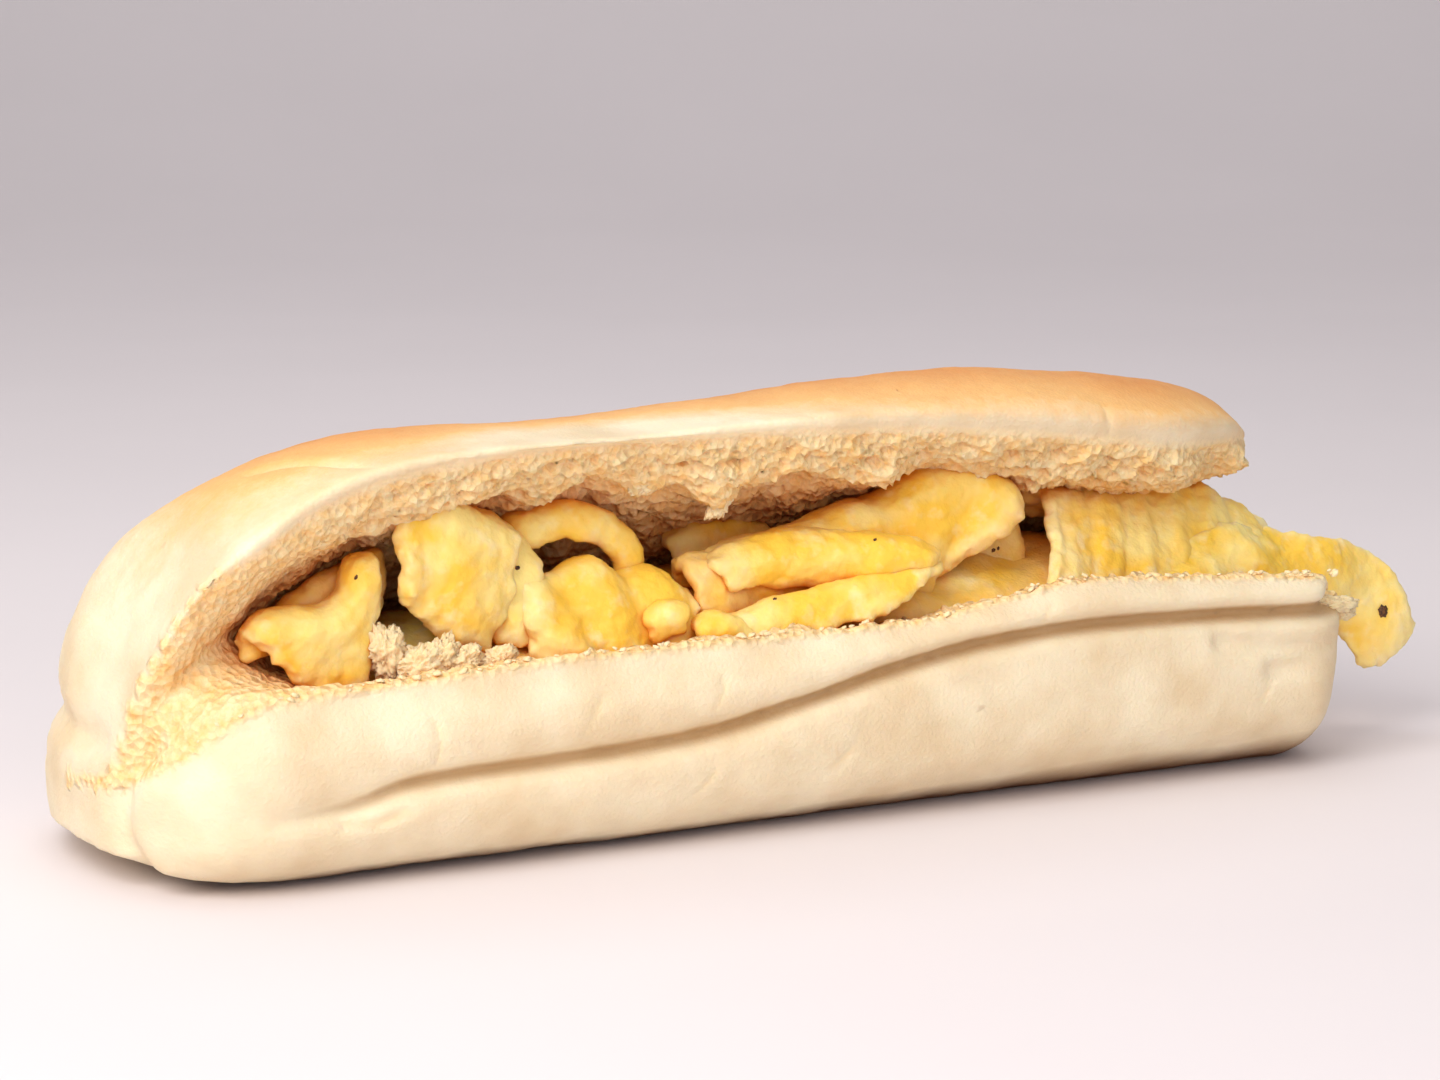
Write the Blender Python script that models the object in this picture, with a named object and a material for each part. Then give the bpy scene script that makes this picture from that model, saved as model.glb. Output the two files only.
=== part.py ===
"""Egg breakfast sandwich: a soft white roll, slit along one long side and filled with folded omelette.

Run it in Blender 4.5. Sizes are in millimetres until a mesh is made, and every mesh is in metres.
X runs along the roll from its closed end to its open end, the slit faces -Y, and Z is up.
The roll is one piece of bread: its lid is still joined to its base along the back and round the closed end.
Each folded piece of omelette is its own solid, trimmed to lie clear of the bread and of earlier pieces.
"""

import math

import bmesh
import bpy
import numpy as np
from mathutils import Vector, noise

MM = 0.001
CLEARANCE = 0.65  # left between pieces that touch, before their faces are reduced
LEAST_GAP = 0.3  # and what is left of it afterwards
FOOT_CUT = 0.4  # pressed off the underside, where the roll's own weight flattens it

# The roll
CLOSED_END = -91.0
OPEN_END = 83.0
HALF_WIDTH = 27.0
CLOSED_ROUNDING = 20.0  # length over which the closed end rounds off
CLOSED_POWER = 2.4  # a blunt end: 2 would be an ellipse
OPEN_ROUNDING = 8.0
OPEN_DOME = 3.6  # how far the open end's sides stand back from its middle
LID_SHORTER = 9.0  # the lid ends this far before the base
BAND_SHORTER = 3.4  # so does the band of crust above the crease
BELLY_HEIGHT = 11.0  # the base is widest here
FOOT_SHARE = 0.62  # share of the width that rests flat on the table
LIP_INSET = 2.6  # the base's cut edge stands this far inside the widest line
LIP_WALL = 4.5  # thickness of the base's front wall at its top
TROUGH_DEPTH = 8.0  # how far the filling's bed lies below the lip
LID_THICKNESS = 15.0
HINGE_INSET = 7.5  # bread left between the slit and the back
HINGE_GROOVE = 1.6
CREASE_WIDTH = 1.1
CRUMB_RELIEF = 1.1
CRUMB_GRAIN = 6.5
LIP_RAGGEDNESS = 0.5
LIP_GRAIN = 3.1
LID_FROM = 24.0  # the section counts as lid above this height, and fully so LID_BLEND higher
LID_BLEND = 12.0
END_SLANT = 26.0  # length over which the open end's setbacks come in
OUTER_CLOSING = 0.8  # share by which the crust and the crumb draw together at the open end's face
INNER_CLOSING = 0.5

# Heights, depths and sides along the roll, as (x, value)
LIP_HEIGHT = [(-91, 12), (-88.5, 14.6), (-85, 16.8), (-82, 19.4), (-78, 22.6), (-74, 24.2), (-60, 25),
              (-30, 26.1), (12, 26), (26, 27.8), (38, 29.4), (55, 28.2), (82, 26.4)]
CREASE_HEIGHT = [(-91, 9.5), (-66, 10.8), (-56, 13), (-30, 13.9), (-18, 14.8), (-4, 17.4), (10, 20.5),
                 (24, 22.6), (40, 23.4), (60, 22.9), (82, 21.8)]
CREASE_DEPTH = [(-76, 0), (-66, 1.4), (-56, 2.2), (0, 2.6), (82, 3.0)]
LID_EDGE_HEIGHT = [(-91, 12.4), (-89.4, 14.2), (-88.2, 18.5), (-87, 25), (-85, 29.5), (-82, 35),
                   (-79, 38.5), (-73, 41.8), (-66, 45.8), (-59, 48.3), (-48, 50), (-34, 51), (-12, 50.9),
                   (17, 49.5), (30, 48.2), (43, 46.5), (56, 44.6), (82, 43)]
LID_EDGE_SIDE = [(-91, -22), (-70, -21.5), (-20, -20), (50, -19), (66, -15), (82, -9)]
CROWN_HEIGHT = [(-91, 15), (-89.5, 20), (-87, 26), (-84, 32.5), (-80.6, 37.8), (-76, 43.2), (-70, 47.8),
                (-62, 50.8), (-50, 52.3), (-30, 51.9), (-10, 52.8), (12, 54.4), (30, 54.8), (45, 53.6),
                (60, 51.7), (72, 49.5), (82, 46.5)]
HINGE_HEIGHT = [(-91, 14), (-84, 18), (-70, 22), (-20, 24), (82, 24)]
SLIT_DEPTH = [(-91, 0.02), (-89, 0.12), (-86, 0.4), (-80, 0.8), (-72, 1.0), (82, 1.0)]
FOOT_LIFT = [(-91, 5.0), (-84, 2.8), (-79, 1.2), (-74, 0.3), (-70, 0), (74, 0), (82, 1.0)]

# Lines pressed into the crust, as (depth, width, points)
END_TEAR = (2.8, 1.7, [(-87, -17, 18.5), (-90, -14, 13), (-90, -15, 6), (-86, -16, 0)])
HINGE_PRESS = (2.0, 2.2, [(-88.5, -8, 17.5), (-91, 0, 17.5), (-89, 13, 18), (-82, 22, 19)])
UPPER_PRESS = (1.2, 1.2, [(58, -27, 19.2), (70, -27.5, 17.4), (83, -26, 16.8)])
LOWER_PRESS = (1.0, 1.0, [(66, -27.4, 14.6), (74, -27.4, 14.8), (83, -26.5, 14.2)])

RING_STEPS = 64  # faces along each side of the section, outside and inside
STATION_GAP = 2.2
CREASE_PULL = 4.0  # how much closer together the points stand by the crease
ROLL_VOXEL = 0.9
ROLL_TRIANGLES = 4150

SHEET_THICKNESS = 2.6
EGG_GRAIN = 7.0
EGG_RELIEF = 0.45
EGG_VOXEL = 0.55
EGG_FINENESS = 2  # grid lines laid for each one that a piece asks for
FACES_A_CELL = 4  # triangles kept for each cell of the grid that a piece asks for
SHEET_RIM = 0.62  # a sheet's thickness at its rim, as a share of what it is elsewhere
TABLE_REACH = (120.0, 60.0, 20.0)  # half length, half width and depth of the block that flattens the foot

CRUST_COLOUR = "#E2B97F"
CRUST_ROUGHNESS = 0.55
EGG_ROUGHNESS = 0.42


def hermite(x, at, value, slope):
    """The cubic through (at, value) with these slopes, held level past both ends."""
    x = np.clip(x, at[0], at[-1])
    i = np.clip(np.searchsorted(at, x) - 1, 0, len(at) - 2)
    span = at[i + 1] - at[i]
    t = (x - at[i]) / span
    rest = 1 - t
    return (
        value[i] * rest * rest * (1 + 2 * t)
        + value[i + 1] * t * t * (3 - 2 * t)
        + span * t * rest * (slope[i] * rest - slope[i + 1] * t)
    )


def smooth_keys(x, keys):
    """A smooth curve through (x, value) keys that never overshoots them."""
    at, value = np.array(keys, float).T
    secant = np.diff(value) / np.diff(at)
    slope = np.zeros(len(at))
    same_way = secant[:-1] * secant[1:] > 0
    slope[1:-1][same_way] = (2 * secant[:-1] * secant[1:] / (secant[:-1] + secant[1:] + 1e-12))[same_way]
    slope[0], slope[-1] = secant[0], secant[-1]
    return hermite(x, at, value, slope)


def smooth_path(points, count):
    """count points, evenly spaced along a smooth curve through the given ones."""
    points = np.asarray(points, float)
    at = np.concatenate([[0], np.cumsum(np.linalg.norm(np.diff(points, axis=0), axis=1))])
    fine = np.linspace(0, at[-1], 12 * count)
    slopes = np.gradient(points, at, axis=0)
    curve = np.stack([hermite(fine, at, *column) for column in zip(points.T, slopes.T)], axis=1)
    walked = np.concatenate([[0], np.cumsum(np.linalg.norm(np.diff(curve, axis=0), axis=1))])
    even = np.linspace(0, walked[-1], count)
    return np.stack([np.interp(even, walked, column) for column in curve.T], axis=1)


def end_rounding(x):
    """The section's share of its full width: 0 at the closed end, 1 past the rounding."""
    t = np.clip((x - CLOSED_END) / CLOSED_ROUNDING, 0, 1)
    return (1 - (1 - t) ** CLOSED_POWER) ** (1 / CLOSED_POWER)


def base_wall(share, z):
    """Half width of the base at height z: a flat foot that rounds out to the belly."""
    drop = max(0.0, (BELLY_HEIGHT - z) / BELLY_HEIGHT)
    round_out = math.sqrt(max(0.0, 1 - drop * drop))
    return HALF_WIDTH * share * (FOOT_SHARE + (1 - FOOT_SHARE) * round_out)


def section(x):
    """The section at x, as (outer, inner) lines of (y, z), both from the base's lip to the lid's edge."""
    share = float(end_rounding(x))
    heights = (LIP_HEIGHT, CREASE_HEIGHT, LID_EDGE_HEIGHT, CROWN_HEIGHT, HINGE_HEIGHT, FOOT_LIFT)
    lip_z, crease_z, edge_z, crown_z, hinge_z, foot = (float(smooth_keys(x, keys)) for keys in heights)
    slit = float(smooth_keys(x, SLIT_DEPTH))
    edge_y = float(smooth_keys(x, LID_EDGE_SIDE)) * share
    half = HALF_WIDTH * share
    lip = np.array([-half + LIP_INSET * share, lip_z])
    edge = np.array([edge_y, edge_z])
    back_y = half - HINGE_INSET * share
    hinge = np.array([back_y, hinge_z])

    def front(z, push=0.0):
        return [-base_wall(share, z) + push * share, max(z, foot)]

    lower = [lip, front(0.45 * lip_z + 0.55 * crease_z, -0.3), front(crease_z), front(crease_z * 0.7, -0.5),
             front(crease_z * 0.34)]
    foot_y = half * FOOT_SHARE
    foot_line = [[-foot_y * 0.92, foot], [0, foot], [foot_y * 0.92, foot]]
    back = [[base_wall(share, 4.0), max(4.0, foot)], [half, max(BELLY_HEIGHT, foot + 1)],
            [half - 0.6 * share, hinge_z - 5.0], [half - (0.6 + HINGE_GROOVE) * share, hinge_z]]
    chord = edge - hinge
    across = np.array([-chord[1], chord[0]])
    across = across / max(np.linalg.norm(across), 1e-6)
    if across[1] < 0:
        across = -across
    rise = max(crown_z - edge_z, 1.0)
    lid = [
        hinge + 0.02 * chord + across * LID_THICKNESS * 0.62 * share,
        hinge + 0.26 * chord + across * LID_THICKNESS * 0.98 * share,
        [0.16 * half + 0.4 * edge_y, crown_z],
        [0.78 * edge_y, edge_z + 0.80 * rise],
        [edge_y - 1.1 * share, edge_z + 0.38 * rise],
        edge,
    ]
    outer = np.array([*lower, *foot_line, *back, *lid], float)

    trough_z = lip_z - TROUGH_DEPTH
    wall_y = lip[0] + LIP_WALL * share
    deep = np.array([
        lip, [wall_y, lip_z - 1.6], [wall_y + 3.0 * share, trough_z + 2.0], [-0.1 * half, trough_z],
        [0.5 * back_y + 1, trough_z + 1.5], hinge - [0, 1.5], hinge + 0.24 * chord + across * 0.8,
        hinge + 0.52 * chord + across * 1.4, hinge + 0.80 * chord + across * 1.2, edge,
    ], float)
    shut = lip + np.linspace(0, 1, len(deep))[:, None] * (edge - lip)
    return outer, shut + slit * (deep - shut)


def crease_at(x, curve):
    """How much of the front wall's crease is felt at each (y, z) point of a section."""
    gap = (curve[:, 1] - float(smooth_keys(x, CREASE_HEIGHT))) / CREASE_WIDTH
    return np.exp(-(gap**2)) * (curve[:, 0] < 0)


def outer_line(x, outer, count):
    """count + 1 points along the outside of the section, closest together by the pressed crease."""
    curve = smooth_path(outer, 12 * count)
    curve[:, 1] = np.maximum(curve[:, 1], outer[:, 1].min())
    steps = np.linalg.norm(np.diff(curve, axis=0), axis=1)
    pull = 1 + CREASE_PULL * crease_at(x, 0.5 * (curve[1:] + curve[:-1])) ** 0.5
    walked = np.concatenate([[0], np.cumsum(steps * pull)])
    even = np.linspace(0, walked[-1], count + 1)
    line = np.stack([np.interp(even, walked, column) for column in curve.T], axis=1)
    line[:, 0] += crease_at(x, line) * float(smooth_keys(x, CREASE_DEPTH))
    return line


def stations():
    """Places along the roll, closer together where its ends round off."""
    turns = np.linspace(0, math.pi / 2, 12)[1:]
    rounded = CLOSED_END + CLOSED_ROUNDING * (1 - np.cos(turns)) ** 1.1
    straight = np.arange(rounded[-1], OPEN_END - OPEN_ROUNDING, STATION_GAP)[1:]
    last = OPEN_END - OPEN_ROUNDING * np.array([0.72, 0.45, 0.2, 0.03])
    return np.concatenate([rounded, straight, last])


def end_setback(line, upper_half):
    """How far each (y, z) point of the open end stands back from the base's farthest point."""
    is_lid = np.clip((line[:, 1] - LID_FROM) / LID_BLEND, 0, 1) * upper_half
    dome = OPEN_DOME * (np.abs(line[:, 0]) / HALF_WIDTH) ** 2.5
    above_crease = line[:, 1] > smooth_keys(OPEN_END, CREASE_HEIGHT)
    band = BAND_SHORTER * (line[:, 0] < -0.7 * HALF_WIDTH) * above_crease
    return dome + np.where(is_lid > 0, LID_SHORTER * is_lid, band)


def roll_points():
    """(points, faces) of the bread: rings round the section, a strip over each end."""
    xs = stations()
    steps = RING_STEPS
    ring = 2 * steps
    points = []
    for x in xs:
        outer, inner = section(x)
        outer = outer_line(x, outer, steps)
        inner = smooth_path(inner, steps + 1)
        upper_half = np.arange(steps + 1) > steps / 2
        near_end = np.clip((x - (OPEN_END - END_SLANT)) / END_SLANT, 0, 1) ** 1.5
        outer_x = x - near_end * end_setback(outer, upper_half)
        inner_x = x - near_end * end_setback(inner, upper_half)
        turn = np.clip((x - (OPEN_END - OPEN_ROUNDING)) / OPEN_ROUNDING, 0, 1)
        closing = 1 - math.sqrt(1 - turn * turn)
        middle = 0.5 * (outer + inner)
        outer = outer + (middle - outer) * OUTER_CLOSING * closing
        inner = inner + (middle - inner) * INNER_CLOSING * closing
        outside = np.column_stack([outer_x, outer])
        inside = np.column_stack([inner_x, inner])
        points.append(np.vstack([outside, inside[-2:0:-1]]))
    points = np.array(points)
    count = len(xs)
    faces = []
    for i in range(count - 1):
        for j in range(ring):
            k = (j + 1) % ring
            faces.append([i * ring + j, i * ring + k, (i + 1) * ring + k, (i + 1) * ring + j])
    last = (count - 1) * ring
    for first, flip in ((0, True), (last, False)):
        for j in range(steps):
            a, b = first + j, first + j + 1
            c, d = first + (ring - j - 1) % ring, first + (ring - j) % ring
            face = [v for n, v in enumerate((a, b, c, d)) if v not in (a, b, c, d)[:n]]
            faces.append(face[::-1] if flip else face)
    return points.reshape(-1, 3), faces


def press(points, normals, line):
    """Pushes the points near a line on the crust inwards, as a pressed crease does."""
    depth, width, marks = line
    path = smooth_path(marks, 40)
    gap = np.min(np.linalg.norm(points[:, None, :] - path[None, :, :], axis=2), axis=1)
    return points - normals * (depth * np.exp(-((gap / width) ** 2)))[:, None]


def relief(points, grain, seed):
    """Smooth noise from -1 to 1 at each point, of the given grain size."""
    return np.array([noise.fractal(Vector(p) / grain + Vector((seed, 0, 0)), 0.6, 2.0, 3) for p in points])


def mesh_object(name, points, faces, material):
    """An object of this mesh, in metres, with its faces pointing out."""
    mesh = bpy.data.meshes.new(name)
    mesh.from_pydata([tuple(p) for p in np.asarray(points) * MM], [], faces)
    body = bmesh.new()
    body.from_mesh(mesh)
    bmesh.ops.triangulate(body, faces=body.faces[:])
    bmesh.ops.recalc_face_normals(body, faces=body.faces[:])
    body.to_mesh(mesh)
    body.free()
    mesh.materials.append(material)
    made = bpy.data.objects.new(name, mesh)
    bpy.context.scene.collection.objects.link(made)
    return made


def apply_modifiers(made):
    """Replaces the object's mesh by what its modifiers make of it."""
    bpy.context.view_layer.update()
    graph = bpy.context.evaluated_depsgraph_get()
    mesh = bpy.data.meshes.new_from_object(made.evaluated_get(graph))
    made.modifiers.clear()
    old = made.data
    made.data = mesh
    bpy.data.meshes.remove(old)


def skin_over(made, voxel):
    """Makes one clean closed skin round the shape, whatever its sheets cross."""
    skin = made.modifiers.new("skin", "REMESH")
    skin.mode = "VOXEL"
    skin.voxel_size = voxel * MM
    apply_modifiers(made)


def keep_faces(made, triangles):
    """Reduces the shape to about this many triangles, most of them where it curves most."""
    fewer = made.modifiers.new("fewer", "DECIMATE")
    sides = sum(len(face.vertices) - 2 for face in made.data.polygons)
    fewer.ratio = min(1.0, triangles / sides)
    apply_modifiers(made)


def normals_of(points, faces):
    """Outward normals at the points of a closed mesh."""
    mesh = bpy.data.meshes.new("normals")
    mesh.from_pydata([tuple(p) for p in points], [], faces)
    body = bmesh.new()
    body.from_mesh(mesh)
    bmesh.ops.recalc_face_normals(body, faces=body.faces[:])
    body.normal_update()
    found = np.array([v.normal[:] for v in body.verts])
    body.free()
    bpy.data.meshes.remove(mesh)
    return found


def roll_shape():
    """(points, normals, faces) of the finished bread, with pressed creases and torn crumb."""
    points, faces = roll_points()
    normals = normals_of(points, faces)
    for line in (END_TEAR, HINGE_PRESS, UPPER_PRESS, LOWER_PRESS):
        points = press(points, normals, line)
    ring = 2 * RING_STEPS
    place = np.arange(len(points)) % ring
    crumb = (place > RING_STEPS).astype(float)
    corner = ((place == 0) | (place == RING_STEPS)).astype(float)
    deep = smooth_keys(points[:, 0], SLIT_DEPTH)
    rough = relief(points, CRUMB_GRAIN, 3.0)
    points = points + normals * (rough * crumb * deep * CRUMB_RELIEF)[:, None]
    ragged = relief(points, LIP_GRAIN, 11.0) * corner * deep * LIP_RAGGEDNESS
    points = points + np.array([0, 0, 1.0]) * ragged[:, None]
    return points, normals_of(points, faces), faces


def hanging_line(walk, length, radius, fall, belly, curl):
    """Where a sheet lies after walk millimetres from its crest, as (away, down), for arrays of one shape.

    It bends by fall degrees over the radius, then by belly over its length, and curls at its edge.
    """
    fine = np.linspace(0, 1, 33)
    s = walk[..., None] * fine
    share = s / np.maximum(length, 1e-6)[..., None]
    turned = s / np.maximum(radius * np.radians(np.maximum(fall, 1)), 1e-6)[..., None]
    over = np.clip(turned, 0, 1)
    edge = np.clip((share - 0.7) / 0.3, 0, 1)
    angle = np.radians(
        fall[..., None] * over * over * (3 - 2 * over)
        + belly[..., None] * share
        + curl[..., None] * edge * edge
    )
    step = walk / (len(fine) - 1)
    away = (np.cos(angle[..., 1:]) + np.cos(angle[..., :-1])).sum(axis=-1) * 0.5 * step
    down = (np.sin(angle[..., 1:]) + np.sin(angle[..., :-1])).sum(axis=-1) * 0.5 * step
    return away, down


def keyed(piece, name, u, default):
    """A value of the piece along its crest, given as one number or as (u, value) keys."""
    value = piece.get(name, default)
    return smooth_keys(u, value) if isinstance(value, list) else np.full_like(u, value)


def sheet_surface(piece, along, across):
    """The middle surface of a folded sheet, as along by across points from its front edge to its back edge.

    The sheet hangs from its crest: forward and down in front, and back and down behind.
    """
    crest = smooth_path(piece["crest"], along)
    tangent = np.gradient(crest, axis=0)
    tangent /= np.linalg.norm(tangent, axis=1)[:, None]
    forward = np.array([0, -1.0, 0]) - tangent * (tangent @ np.array([0, -1.0, 0]))[:, None]
    forward /= np.linalg.norm(forward, axis=1)[:, None]
    up = np.cross(forward, tangent)
    if not piece.get("square", False):
        up = np.array([0, 0, 1.0]) - forward * forward[:, 2:]
        up /= np.linalg.norm(up, axis=1)[:, None]
    u, v = np.meshgrid(np.linspace(-1, 1, along), np.linspace(-1, 1, across), indexing="ij")
    rounding = piece.get("rounding", 0.45)
    u, v = u * np.sqrt(1 - rounding * v * v / 2), v * np.sqrt(1 - rounding * u * u / 2)
    place = (u + 1) / 2
    front = v < 0
    length = np.where(front, keyed(piece, "front", place, 8.0), keyed(piece, "back", place, 4.0))
    radius = np.where(front, keyed(piece, "radius", place, 2.2), keyed(piece, "back_radius", place, 2.0))
    fall = np.where(front, keyed(piece, "fall", place, 90.0), keyed(piece, "back_fall", place, 75.0))
    belly = np.where(front, keyed(piece, "belly", place, 0.0), 0.0)
    curl = np.where(front, keyed(piece, "curl", place, 0.0), 0.0)
    away, down = hanging_line(np.abs(v) * length, length, radius, fall, belly, curl)
    away = np.where(front, away, -away)
    lean = np.radians(keyed(piece, "lean", place, 0.0))
    ahead = away * np.cos(lean) - down * np.sin(lean)
    below = down * np.cos(lean) + away * np.sin(lean)
    index = place * (along - 1)
    low = np.clip(index.astype(int), 0, along - 2)
    part = (index - low)[..., None]

    def between(values):
        return values[low] * (1 - part) + values[low + 1] * part

    spot = between(crest) + between(forward) * ahead[..., None] - between(up) * below[..., None]
    return spot + between(tangent) * (keyed(piece, "skew", place, 0.0) * np.abs(v) * front)[..., None]


def surface_normals(surface):
    """Unit normals of a surface given as a grid of points."""
    normal = np.cross(np.gradient(surface, axis=0), np.gradient(surface, axis=1))
    return normal / np.maximum(np.linalg.norm(normal, axis=2), 1e-9)[:, :, None]


def rippled(surface, piece):
    """The surface with its pleats, its frilled edge and its uneven cooked relief."""
    rows, columns = surface.shape[:2]
    u = np.linspace(0, 1, rows)[:, None]
    v = np.linspace(0, 1, columns)[None, :]
    height, waves, lean = piece.get("pleats", (0.0, 1.0, 0.0))
    pleat = height * np.sin(2 * math.pi * (waves * u + lean * v) + piece["seed"])
    frill, frills = piece.get("frill", (0.5, 4.0))
    edge = np.maximum(np.abs(2 * u - 1), np.abs(2 * v - 1)) ** 6
    wave = frill * edge * np.sin(2 * math.pi * frills * (u + v) + 2.3 * piece["seed"])
    bumps = relief(surface.reshape(-1, 3), EGG_GRAIN, piece["seed"]).reshape(rows, columns) * EGG_RELIEF
    return surface + surface_normals(surface) * (pleat + wave + bumps)[:, :, None]


def sheet_mesh(piece, along, across, grow=0.0):
    """(points, faces) of a folded sheet of omelette, thicker and longer by grow on every side."""
    surface = rippled(sheet_surface(piece, along, across), piece)
    if grow:
        for axis in (0, 1):
            surface = np.moveaxis(surface, axis, 0).copy()
            for edge, inner in ((0, 1), (-1, -2)):
                out = surface[edge] - surface[inner]
                out /= np.maximum(np.linalg.norm(out, axis=1), 1e-6)[:, None]
                surface[edge] += out * grow
            surface = np.moveaxis(surface, 0, axis)
    normal = surface_normals(surface)
    half = np.full(surface.shape[:2], piece.get("thick", SHEET_THICKNESS) / 2)
    for edge in (half[0], half[-1], half[:, 0], half[:, -1]):
        edge *= SHEET_RIM
    half = half + grow
    over = surface + normal * half[:, :, None]
    under = surface - normal * half[:, :, None]
    rows, columns = half.shape
    layer = rows * columns
    faces = []
    for i in range(rows - 1):
        for j in range(columns - 1):
            a = i * columns + j
            faces.append([a, a + columns, a + columns + 1, a + 1])
            faces.append([layer + a, layer + a + 1, layer + a + columns + 1, layer + a + columns])
    rim = [j for j in range(columns)]
    rim += [i * columns + columns - 1 for i in range(1, rows)]
    rim += [(rows - 1) * columns + j for j in range(columns - 2, -1, -1)]
    rim += [i * columns for i in range(rows - 2, 0, -1)]
    for n, a in enumerate(rim):
        b = rim[(n + 1) % len(rim)]
        faces.append([a, b, layer + b, layer + a])
    return np.vstack([over.reshape(-1, 3), under.reshape(-1, 3)]), faces


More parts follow.
